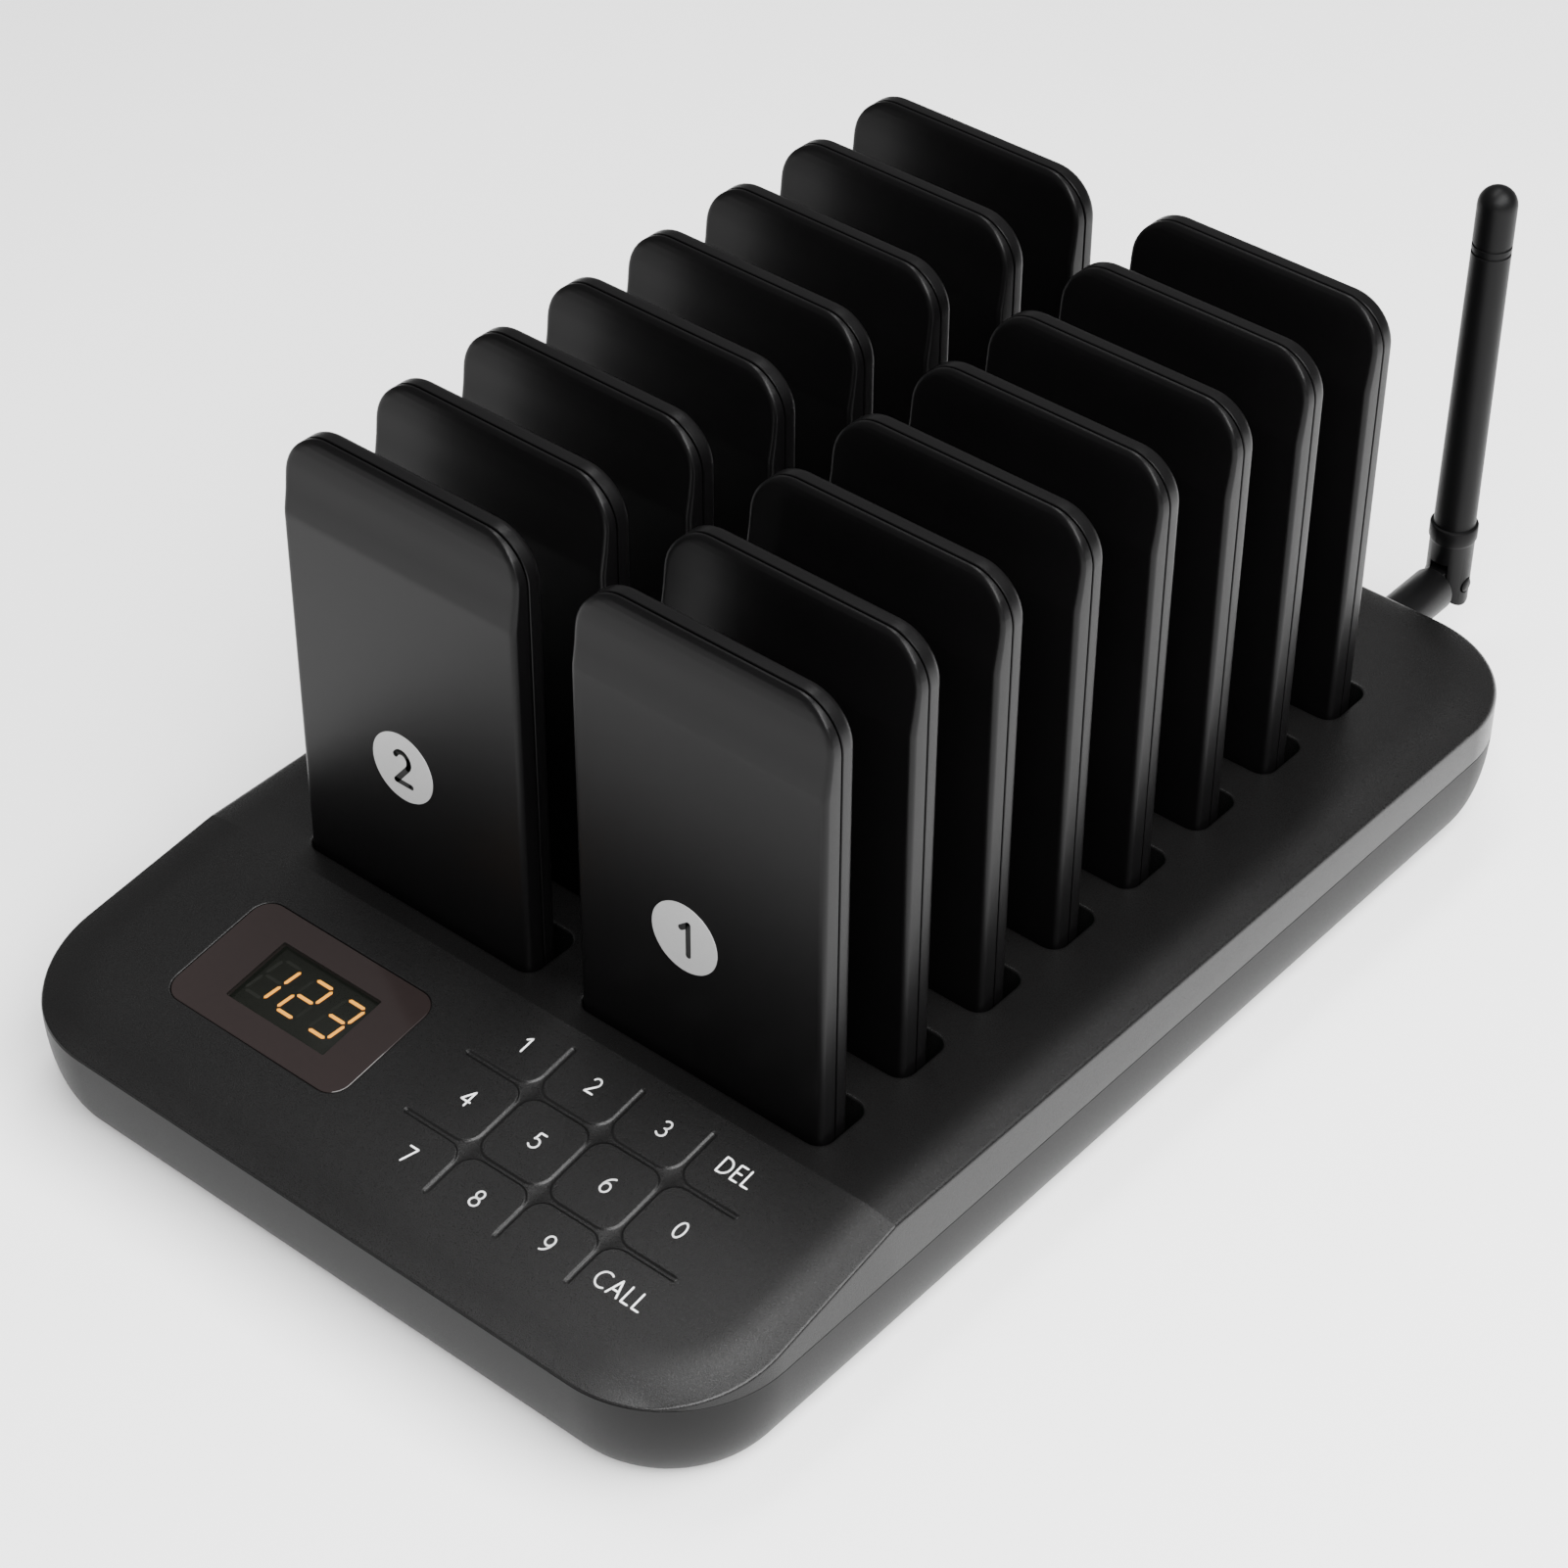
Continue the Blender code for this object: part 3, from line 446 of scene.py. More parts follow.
def fillet_steps(radius, count):
    """(distance in, drop) along a quarter circle from the side to the flat."""
    turns = [math.radians(90 * step / count) for step in range(count + 1)]
    return [(radius * (1 - math.cos(turn)), radius * (1 - math.sin(turn))) for turn in turns]


def turned(bm, profile, steps, axis="Z", centre=(0, 0, 0)):
    """Spins a profile of (radius, height) round an axis through a centre, closing both ends."""
    made = bmesh.new()
    corners = [made.verts.new((radius, 0, height)) for radius, height in profile]
    edges = [made.edges.new(pair) for pair in zip(corners, corners[1:])]
    bmesh.ops.spin(
        made, geom=corners + edges, cent=(0, 0, 0), axis=(0, 0, 1), angle=2 * math.pi, steps=steps,
        use_merge=True,
    )
    bmesh.ops.remove_doubles(made, verts=made.verts, dist=1e-6)
    bmesh.ops.recalc_face_normals(made, faces=made.faces)
    turn = {
        "X": Matrix.Rotation(math.pi / 2, 4, "Y"),
        "Y": Matrix.Rotation(-math.pi / 2, 4, "X"),
        "Z": Matrix(),
    }[axis]
    bmesh.ops.transform(made, matrix=Matrix.Translation(centre) @ turn, verts=made.verts)
    joined(bm, made)


def joined(bm, other):
    """Adds another bmesh's faces to a bmesh."""
    mesh = bpy.data.meshes.new("loose")
    other.to_mesh(mesh)
    other.free()
    bm.from_mesh(mesh)
    bpy.data.meshes.remove(mesh)


def soft_box(bm, size, centre, radius, steps=2):
    """Adds a box with rounded edges."""
    made = bmesh.new()
    bmesh.ops.create_cube(made, size=1.0)
    bmesh.ops.scale(made, verts=made.verts, vec=size)
    bmesh.ops.bevel(
        made, geom=made.edges[:], offset=radius, offset_type="OFFSET", segments=steps, profile=0.5,
        affect="EDGES", material=-1,
    )
    bmesh.ops.translate(made, verts=made.verts, vec=centre)
    joined(bm, made)


def object_from(bm, name, finishes=(), angle=40):
    """The bmesh as a smooth-shaded object at the origin."""
    mesh = bpy.data.meshes.new(name)
    bm.to_mesh(mesh)
    bm.free()
    made = bpy.data.objects.new(name, mesh)
    bpy.context.scene.collection.objects.link(made)
    for each in finishes:
        mesh.materials.append(each)
    smoothed(mesh, angle)
    return made


def smoothed(mesh, angle=40):
    """Smooth shading, with the edges over the angle kept sharp."""
    kept = [edge.index for edge in mesh.edges if edge.use_edge_sharp]
    mesh.shade_smooth()
    mesh.set_sharp_from_angle(angle=math.radians(angle))
    for index in kept:
        mesh.edges[index].use_edge_sharp = True


def settled(made):
    """Applies the object's modifiers."""
    bpy.context.view_layer.update()
    graph = bpy.context.evaluated_depsgraph_get()
    old = made.data
    made.data = bpy.data.meshes.new_from_object(made.evaluated_get(graph))
    made.modifiers.clear()
    made.data.name = made.name
    bpy.data.meshes.remove(old)


def carve(made, cutters, operation="DIFFERENCE"):
    """Cuts bmesh tools out of an object, or joins them to it."""
    helpers = []
    for tool in cutters:
        bmesh.ops.recalc_face_normals(tool, faces=tool.faces)
        helper = object_from(tool, "tool")
        change = made.modifiers.new("carve", "BOOLEAN")
        change.operation = operation
        change.object = helper
        change.solver = "EXACT"
        helpers.append(helper)
    settled(made)
    for helper in helpers:
        mesh = helper.data
        bpy.data.objects.remove(helper)
        bpy.data.meshes.remove(mesh)


def walled(made, thickness, even=False):
    """Gives an open skin a wall on its inner side."""
    wall = made.modifiers.new("wall", "SOLIDIFY")
    wall.thickness = thickness
    wall.offset = -1.0
    wall.use_even_offset = even
    wall.use_rim = True
    settled(made)


def attached(made, body, slot_name=None, *replaced):
    """Puts a finished piece on its CAD body and hides the CAD nodes it stands for; the record slot it is
    given is not used.
    """
    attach(made, body)
    if replaced:
        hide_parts(*replaced)
    return made


# The base's surfaces

def inside_distance(x, y, radius):
    """How far a point of the plan lies inside the base's outline."""
    over_x = abs(x) - (BASE_SIZE[0] / 2 - radius)
    over_y = abs(y - BASE_MIDDLE_Y) - (BASE_SIZE[1] / 2 - radius)
    outside = math.hypot(max(over_x, 0.0), max(over_y, 0.0))
    return radius - outside - min(max(over_x, over_y), 0.0)


def panel_height(y):
    """The flat deck behind the crease, and the sloped panel ahead of it."""
    return DECK - PANEL_SLOPE * max(CREASE_Y - y, 0.0)


def roll_depth(y, inside, case):
    """How far the surface has fallen from its flat part at a distance in from the edge."""
    room = max(panel_height(y) - LID_FOOT - EDGE_LIP, 0.0)
    return min(case.roll_drop, room) * (1 - min(inside / case.roll_width, 1.0)) ** 2


def leaned_in(x, y, case):
    """The place of a plan point once the wall under it leans in, which squeezes the rolled band."""
    inside = max(inside_distance(x, y, case.corner_radius), 0.0)
    upright = min(max((y - LEAN_FADE[0]) / (LEAN_FADE[1] - LEAN_FADE[0]), 0.0), 1.0)
    upright = upright * upright * (3 - 2 * upright)
    lean = case.draft * (1 - upright) * (panel_height(y) - roll_depth(y, 0.0, case) - LID_FOOT)
    shift = lean * max(1 - inside / case.roll_width, 0.0)
    over_x = abs(x) - (BASE_SIZE[0] / 2 - case.corner_radius)
    over_y = abs(y - BASE_MIDDLE_Y) - (BASE_SIZE[1] / 2 - case.corner_radius)
    side_y = math.copysign(1, y - BASE_MIDDLE_Y)
    outward = Vector((max(over_x, 0.0) * math.copysign(1, x), max(over_y, 0.0) * side_y))
    if shift <= 0.0 or outward.length == 0.0:
        return x, y
    outward.normalize()
    return x - shift * outward.x, y - shift * outward.y


def lid_height(x, y, case):
    """The lid's outer surface, with the roll and the fillet along its edge."""
    flat = panel_height(y)
    inside = max(inside_distance(x, y, case.corner_radius), 0.0)
    roll = roll_depth(y, inside, case)
    rearward = min(max((y - BASE_MIDDLE_Y) / (LID_HIGH.y - BASE_MIDDLE_Y), 0.0), 1.0)
    radius = case.edge_fillet + (case.rear_fillet - case.edge_fillet) * rearward
    fillet = min(radius, max(flat - roll - LID_FOOT, 0.0) * 0.8)
    drop = 0.0
    if inside < fillet:
        drop = fillet - math.sqrt(max(fillet**2 - (fillet - inside) ** 2, 0.0))
    return flat - roll - drop


def on_panel(x, y, depth):
    """The place that lies depth under the panel's surface, square to its slope."""
    return Vector((x, y + depth * math.sin(PANEL_ANGLE), panel_height(y) - depth * math.cos(PANEL_ANGLE)))


def onto_panel(bm, x, y, height):
    """Moves a bmesh from its own flat plan onto the panel's slope."""
    place = Matrix.Translation(on_panel(x, y, -height)) @ Matrix.Rotation(PANEL_ANGLE, 4, "X")
    bmesh.ops.transform(bm, matrix=place, verts=bm.verts)


def slot_centres():
    for row in range(ROWS):
        for side in (1, -1):
            yield side * PAGER_X, SEAM_Y + row * ROW_PITCH + SLOT_CENTRE


def groove_outline(half):
    """Corners of the groove network: (x, y, whether it is a key's corner and not a groove's end)."""
    left, right = GROOVES_X[0] - half, GROOVES_X[-1] + half
    near, far = GROOVES_Y[0] - half, GROOVES_Y[-1] + half
    points = []
    for x in GROOVES_X:
        points += [(x - half, near, True), (x - half, GROOVE_ENDS_Y[0], False)]
        points += [(x + half, GROOVE_ENDS_Y[0], False), (x + half, near, True)]
    for y in GROOVES_Y:
        points += [(right, y - half, True), (GROOVE_ENDS_X[1], y - half, False)]
        points += [(GROOVE_ENDS_X[1], y + half, False), (right, y + half, True)]
    for x in reversed(GROOVES_X):
        points += [(x + half, far, True), (x + half, GROOVE_ENDS_Y[1], False)]
        points += [(x - half, GROOVE_ENDS_Y[1], False), (x - half, far, True)]
    for y in reversed(GROOVES_Y):
        points += [(left, y + half, True), (GROOVE_ENDS_X[0], y + half, False)]
        points += [(GROOVE_ENDS_X[0], y - half, False), (left, y - half, True)]
    return [point for index, point in enumerate(points) if point != points[index - 1]]


def add_grooves(bm, keys):
    """The faces of the groove network, in plan, and the loop round them."""
    half = keys.groove_width / 2 + GROOVE_HOLD
    radius = keys.key_radius
    near, far = GROOVES_Y[0] + half, GROOVES_Y[1] - half
    islands = []
    for first, second in zip(GROOVES_X, GROOVES_X[1:]):
        size = (second - first - 2 * half, far - near)
        centre = ((first + second) / 2, (near + far) / 2)
        islands.append(rounded_face(bm, size, (radius, radius), 6, centre))
    corners = [(bm.verts.new((x, y, 0)), inner) for x, y, inner in groove_outline(half)]
    bm.faces.new([corner for corner, inner in corners])
    round_corners(bm, [corner for corner, inner in corners if inner], radius, 6)
    outline = round_corners(bm, [corner for corner, inner in corners if not inner], half * 0.95, 3)
    loop = list(outline.edges)
    bmesh.ops.delete(bm, geom=[outline], context="FACES_ONLY")
    edges = loop + [edge for island in islands for edge in island.edges]
    filled = bmesh.ops.triangle_fill(bm, edges=edges, use_beauty=True, normal=(0, 0, 1))
    faces = [piece for piece in filled["geom"] if isinstance(piece, bmesh.types.BMFace)]
    return faces, loop


def lid_plan(bm, case, keys):
    """The lid's top in plan, with z as the depth of its openings and grooves below the surface."""
    radius = case.corner_radius
    middle = rounded_face(bm, BASE_SIZE, (radius, radius), CORNER_STEPS, (0, BASE_MIDDLE_Y))
    reached = 0.0
    for distance in EDGE_RINGS:
        inset(bm, [middle], distance * MM - reached)
        reached = distance * MM
    bmesh.ops.delete(bm, geom=[middle], context="FACES_ONLY")
    cuts, spacing = PANEL_CUTS
    for step in range(1, cuts + 1):
        cut_across(bm, CREASE_Y - step * spacing)
    loops = []
    for edge in bm.edges:
        middle = (edge.verts[0].co + edge.verts[1].co) / 2
        if edge.is_boundary and inside_distance(*middle.xy, radius) > 5 * MM:
            loops.append(edge)
    fillet = case.slot_fillet
    grow = 2 * (fillet + SLOT_HOLD)
    corner = SLOT_RADIUS + fillet + SLOT_HOLD
    slots = [
        rounded_face(bm, (SLOT_SIZE[0] + grow, SLOT_SIZE[1] + grow), (corner, corner), 6, centre)
        for centre in slot_centres()
    ]
    wide, deep = [side + 2 * (SEAT_GAP + SEAT_RIM) for side in LENS_SIZE]
    seat_size = (wide, deep * math.cos(PANEL_ANGLE))
    seat_radius = LENS_RADIUS + SEAT_GAP + SEAT_RIM
    seat = rounded_face(bm, seat_size, (seat_radius, seat_radius), 8, (LENS_X, LENS_Y))
    grooves, groove_loop = add_grooves(bm, keys)
    for face in slots + [seat]:
        loops += list(face.edges)
    bmesh.ops.triangle_fill(bm, edges=loops + groove_loop, use_beauty=True, normal=(0, 0, 1))
    rim = [(SLOT_HOLD + reach * fillet, -drop * fillet) for reach, drop in SLOT_RIM]
    for face in slots:
        sink(bm, [face], [(SLOT_HOLD, 0.0)] + rim)
        moved = pushed(bm, face, (0, 0, PAGER_LOW.z - DECK + fillet))
        bmesh.ops.delete(bm, geom=[moved], context="FACES_ONLY")
    sink(bm, [seat], SEAT_FILLET)
    floor = pushed(bm, seat, (0, 0, -SEAT_FILLET[-1][1] - SEAT_DEPTH))
    inset(bm, [floor], LEDGE_WIDTH)
    bmesh.ops.delete(bm, geom=[floor], context="FACES_ONLY")
    half = keys.groove_width / 2
    depth = keys.groove_depth
    sink(bm, grooves, [(GROOVE_HOLD + reach * half, -drop * depth) for reach, drop in GROOVE_PROFILE])


def notch(bm, walls):
    """Bends the rear wall's foot up round the antenna's neck."""
    near = [face for face in walls if all(corner.co.y > LID_HIGH.y - 4 * MM for corner in face.verts)]
    for step in range(NOTCH_STEPS + 1):
        x = HINGE.x - NECK_HOLE * math.cos(math.pi * step / NOTCH_STEPS)
        edges = {edge for face in near for edge in face.edges}
        corners = {corner for face in near for corner in face.verts}
        cut = bmesh.ops.bisect_plane(
            bm, geom=[*near, *edges, *corners], plane_co=(x, 0, 0), plane_no=(1, 0, 0)
        )
        near = [piece for piece in cut["geom"] if isinstance(piece, bmesh.types.BMFace)]
    for corner in {corner for face in near for corner in face.verts}:
        across = abs(corner.co.x - HINGE.x)
        if abs(corner.co.z - LID_FOOT) < 1e-6 and across < NECK_HOLE - 1e-6:
            corner.co.z = HINGE.z + math.sqrt(NECK_HOLE**2 - across**2)


def lid_skin(case, keys):
    """The lid's outer skin, with an open foot."""
    bm = bmesh.new()
    lid_plan(bm, case, keys)
    cut_across(bm, CREASE_Y)
    for edge in bm.edges:
        if all(abs(corner.co.y - CREASE_Y) < 1e-6 for corner in edge.verts):
            edge.smooth = False
    outer = []
    for edge in bm.edges:
        deepest = max(inside_distance(*corner.co.xy, case.corner_radius) for corner in edge.verts)
        if edge.is_boundary and deepest < 0.02 * MM:
            outer.append(edge)
    grown = bmesh.ops.extrude_edge_only(bm, edges=outer)
    rim = {piece for piece in grown["geom"] if isinstance(piece, bmesh.types.BMVert)}
    for corner in bm.verts:
        if corner in rim:
            corner.co.z = LID_FOOT
            continue
        depth = -corner.co.z
        x, y = corner.co.x, corner.co.y
        height = lid_height(x, y, case)
        x, y = leaned_in(x, y, case)
        if y < CREASE_Y and depth > 0:
            y += depth * math.sin(PANEL_ANGLE)
            height += depth * (1 - math.cos(PANEL_ANGLE))
        corner.co = (x, y, height - depth)
    grown_edges = [piece for piece in grown["geom"] if isinstance(piece, bmesh.types.BMEdge)]
    walls = {face for edge in grown_edges for face in edge.link_faces}
    notch(bm, walls)
    bmesh.ops.recalc_face_normals(bm, faces=bm.faces)
    top = max(bm.faces, key=lambda face: face.calc_area())
    if top.normal.z < 0:
        bmesh.ops.reverse_faces(bm, faces=bm.faces)
    return bm


def box_tool(size, centre):
    tool = bmesh.new()
    bmesh.ops.create_cube(tool, size=1.0)
    bmesh.ops.scale(tool, verts=tool.verts, vec=size)
    bmesh.ops.translate(tool, verts=tool.verts, vec=centre)
    return tool


def rod_tool(radius, reach, centre, axis="Y", steps=ROUND_STEPS):
    tool = bmesh.new()
    ends = (-reach / 2, reach / 2)
    profile = [(0, ends[0]), (radius, ends[0]), (radius, ends[1]), (0, ends[1])]
    turned(tool, profile, steps, axis, centre)
    return tool


class PAGING_OT_lid(bpy.types.Operator):
    """Build the lid with its slots, key grooves, crease and display seat"""

    bl_idname = "paging.lid"
    bl_label = "Lid"

    def execute(self, context):
        case, keys = context.scene.paging_case, context.scene.paging_keys
        black = moulded("lid_abs", case.lid_colour, 0.30, 0.08, 0.22 * MM, 0.040 * MM, shine=0.24)
        lid = object_from(lid_skin(case, keys), "lid", [black])
        walled(lid, case.lid_wall)
        for corner in lid.data.vertices:
            near = inside_distance(*corner.co.xy, case.corner_radius) < RIM_BAND
            if near and corner.co.z < LID_FOOT:
                corner.co.z = LID_FOOT
        smoothed(lid.data, 32)
        attached(lid, "base", "case_black", "base_top_shell")
        return {"FINISHED"}


class PAGING_OT_tray(bpy.types.Operator):
    """Build the tray that curves in under the base"""

    bl_idname = "paging.tray"
    bl_label = "Tray"

    def execute(self, context):
        case = context.scene.paging_case
        grey = moulded("tray_abs", case.tray_colour, 0.48, 0.05, 0.20 * MM, 0.020 * MM, shine=0.11)
        bm = bmesh.new()
        radius = case.corner_radius
        middle = rounded_face(bm, BASE_SIZE, (radius, radius), CORNER_STEPS, (0, BASE_MIDDLE_Y))
        for corner in bm.verts:
            corner.co.z = TRAY_RIM - TRAY_LIP
        drop = TRAY_RIM - TRAY_LIP - TRAY_LOW.z
        steps = []
        for step in range(1, TRAY_STEPS + 1):
            turn = math.radians(90 * step / TRAY_STEPS)
            steps.append((TRAY_CURVE * (1 - math.cos(turn)), TRAY_LOW.z + drop * (1 - math.sin(turn))))
        steps.append((TRAY_CURVE + 1.0 * MM, TRAY_LOW.z))
        sink(bm, [middle], steps)
        rim = [edge for edge in bm.edges if edge.is_boundary]
        grown = bmesh.ops.extrude_edge_only(bm, edges=rim)
        for piece in grown["geom"]:
            if isinstance(piece, bmesh.types.BMVert):
                piece.co.x *= TRAY_LIP_SCALE[0]
                piece.co.y = BASE_MIDDLE_Y + (piece.co.y - BASE_MIDDLE_Y) * TRAY_LIP_SCALE[1]
                piece.co.z = TRAY_RIM
        bmesh.ops.recalc_face_normals(bm, faces=bm.faces)
        floor = max(bm.faces, key=lambda face: face.calc_area())
        if floor.normal.z > 0:
            bmesh.ops.reverse_faces(bm, faces=bm.faces)
        tray = object_from(bm, "tray", [grey])
        walled(tray, case.tray_wall)
        hole = rod_tool(NECK_HOLE, 12 * MM, (HINGE.x, LID_HIGH.y, HINGE.z))
        jack = rod_tool(JACK_HOLE, 12 * MM, JACK)
        carve(tray, [hole, jack])
        smoothed(tray.data, 40)
        attached(tray, "base", "case_grey", "base_bottom_tray")
        return {"FINISHED"}


# Printed strokes

def arc(x, y, wide, high, start, stop, steps=14):
    """Points along part of an ellipse, angles in degrees."""
    turns = [math.radians(start + (stop - start) * step / steps) for step in range(steps + 1)]
    return [(x + wide * math.cos(turn), y + high * math.sin(turn)) for turn in turns]


# Each character's width, and its strokes on a height of one
GLYPHS = {
    "1": (0.30, [[(0.28, 0.0), (0.28, 1.0)], [(0.28, 1.0), (0.04, 0.80)]]),
    "2": (0.56, [arc(0.27, 0.72, 0.25, 0.28, 155, -35) + [(0.03, 0.0)], [(0.03, 0.0), (0.56, 0.0)]]),
    "3": (0.54, [arc(0.24, 0.76, 0.24, 0.24, 140, -90), arc(0.24, 0.26, 0.28, 0.26, 90, -145)]),
    "4": (0.60, [[(0.44, 0.0), (0.44, 1.0)], [(0.44, 1.0), (0.0, 0.30)], [(0.0, 0.30), (0.60, 0.30)]]),
    "5": (0.54, [
        [(0.50, 1.0), (0.12, 1.0)], [(0.12, 1.0), (0.08, 0.56)], arc(0.22, 0.31, 0.30, 0.31, 125, -140),
    ]),
    "6": (0.56, [arc(0.28, 0.30, 0.26, 0.30, 0, 360, 22), arc(0.52, 0.32, 0.50, 0.67, 178, 98)]),
    "7": (0.54, [[(0.0, 1.0), (0.54, 1.0)], [(0.54, 1.0), (0.18, 0.0)]]),
    "8": (0.56, [arc(0.28, 0.76, 0.22, 0.24, 0, 360, 20), arc(0.28, 0.26, 0.27, 0.26, 0, 360, 20)]),
    "9": (0.56, [arc(0.28, 0.70, 0.26, 0.30, 0, 360, 22), arc(0.04, 0.68, 0.50, 0.67, -2, -82)]),
    "0": (0.56, [arc(0.28, 0.50, 0.27, 0.50, 0, 360, 26)]),
    "D": (0.64, [
        [(0.0, 0.0), (0.0, 1.0)], [(0.0, 1.0)] + arc(0.18, 0.5, 0.46, 0.5, 90, -90) + [(0.0, 0.0)],
    ]),
    "E": (0.42, [
        [(0.0, 0.0), (0.0, 1.0)], [(0.0, 1.0), (0.42, 1.0)],
        [(0.0, 0.52), (0.38, 0.52)], [(0.0, 0.0), (0.42, 0.0)],
    ]),
    "L": (0.42, [[(0.0, 1.0), (0.0, 0.0)], [(0.0, 0.0), (0.42, 0.0)]]),
    "C": (0.68, [arc(0.46, 0.5, 0.46, 0.5, 58, 302, 20)]),
    "A": (0.68, [[(0.0, 0.0), (0.34, 1.0)], [(0.34, 1.0), (0.68, 0.0)], [(0.12, 0.34), (0.56, 0.34)]]),
}


def stroke(bm, points, width, thickness):
    """A flat printed stroke along points, with round joints and ends."""
    for point in points:
        place = Matrix.Translation((*point, 0))
        made = bmesh.ops.create_circle(bm, cap_ends=True, segments=12, radius=width / 2, matrix=place)
        raise_print(bm, made["verts"][0].link_faces[0], thickness)
    for start, stop in zip(points, points[1:]):
        along = (Vector(stop) - Vector(start)).normalized()
        across = Vector((-along.y, along.x)) * width / 2
        near_side = [Vector(start) - across, Vector(stop) - across]
        far_side = [Vector(stop) + across, Vector(start) + across]
        face = bm.faces.new([bm.verts.new((*corner, 0)) for corner in near_side + far_side])
        raise_print(bm, face, thickness)


def raise_print(bm, face, thickness):
    kept = bmesh.ops.extrude_face_region(bm, geom=[face], use_keep_orig=True)
    corners = [piece for piece in kept["geom"] if isinstance(piece, bmesh.types.BMVert)]
    bmesh.ops.translate(bm, verts=corners, vec=(0, 0, thickness))


def printed(text, height, width, thickness):
    """A line of text in strokes, centred on the origin."""
    bm = bmesh.new()
    total = sum(GLYPHS[letter][0] for letter in text) + LETTER_SPACE * (len(text) - 1)
    reach = -total / 2
    for letter in text:
        span, strokes = GLYPHS[letter]
        for points in strokes:
            stroke(bm, [((x + reach) * height, (y - 0.5) * height) for x, y in points], width, thickness)
        reach += span + LETTER_SPACE
    bmesh.ops.recalc_face_normals(bm, faces=bm.faces)
    return bm


class PAGING_OT_legends(bpy.types.Operator):
    """Print the key legends on the panel"""

    bl_idname = "paging.legends"
    bl_label = "Key legends"

    def execute(self, context):
        keys = context.scene.paging_keys
        ink = moulded("legend_ink", keys.ink_colour, 0.55, 0.05, 0.25 * MM, 0.004 * MM, 0.04)
        for row, y in zip(LEGENDS, LEGEND_Y):
            for text, x in zip(row, LEGEND_X):
                bm = printed(text, keys.legend_height, keys.legend_stroke, INK * 2)
                onto_panel(bm, x, y, -INK)
                attached(object_from(bm, "legend_" + text, [ink]), "base")
        return {"FINISHED"}


def segment_line(name):
    """Middle line of a segment within its digit, before the slant."""
    wide, high = DIGIT_HALF
    lines = {
        "a": ((-wide, high), (wide, high)),
        "b": ((wide, high), (wide, 0)),
        "c": ((wide, 0), (wide, -high)),
        "d": ((-wide, -high), (wide, -high)),
        "e": ((-wide, 0), (-wide, -high)),
        "f": ((-wide, high), (-wide, 0)),
        "g": ((-wide, 0), (wide, 0)),
    }
    return [Vector(point) for point in lines[name]]


def add_segment(bm, name, centre_x):
    """A segment as a pointed bar with a brighter middle strip."""
    start, stop = segment_line(name)
    along = (stop - start).normalized()
    across = Vector((-along.y, along.x))
    half = SEGMENT_WIDTH / 2
    start, stop = start + along * SEGMENT_TRIM, stop - along * SEGMENT_TRIM
    points = [
        start, start + along * half - across * half, stop - along * half - across * half,
        stop, stop - along * half + across * half, start + along * half + across * half,
    ]
    corners = [bm.verts.new((centre_x + point.x + DIGIT_SLANT * point.y, point.y, 0)) for point in points]
    face = bm.faces.new(corners)
    if face.normal.z < 0:
        face.normal_flip()
    inset(bm, [face], half * SEGMENT_RIM)
    face.material_index = 1


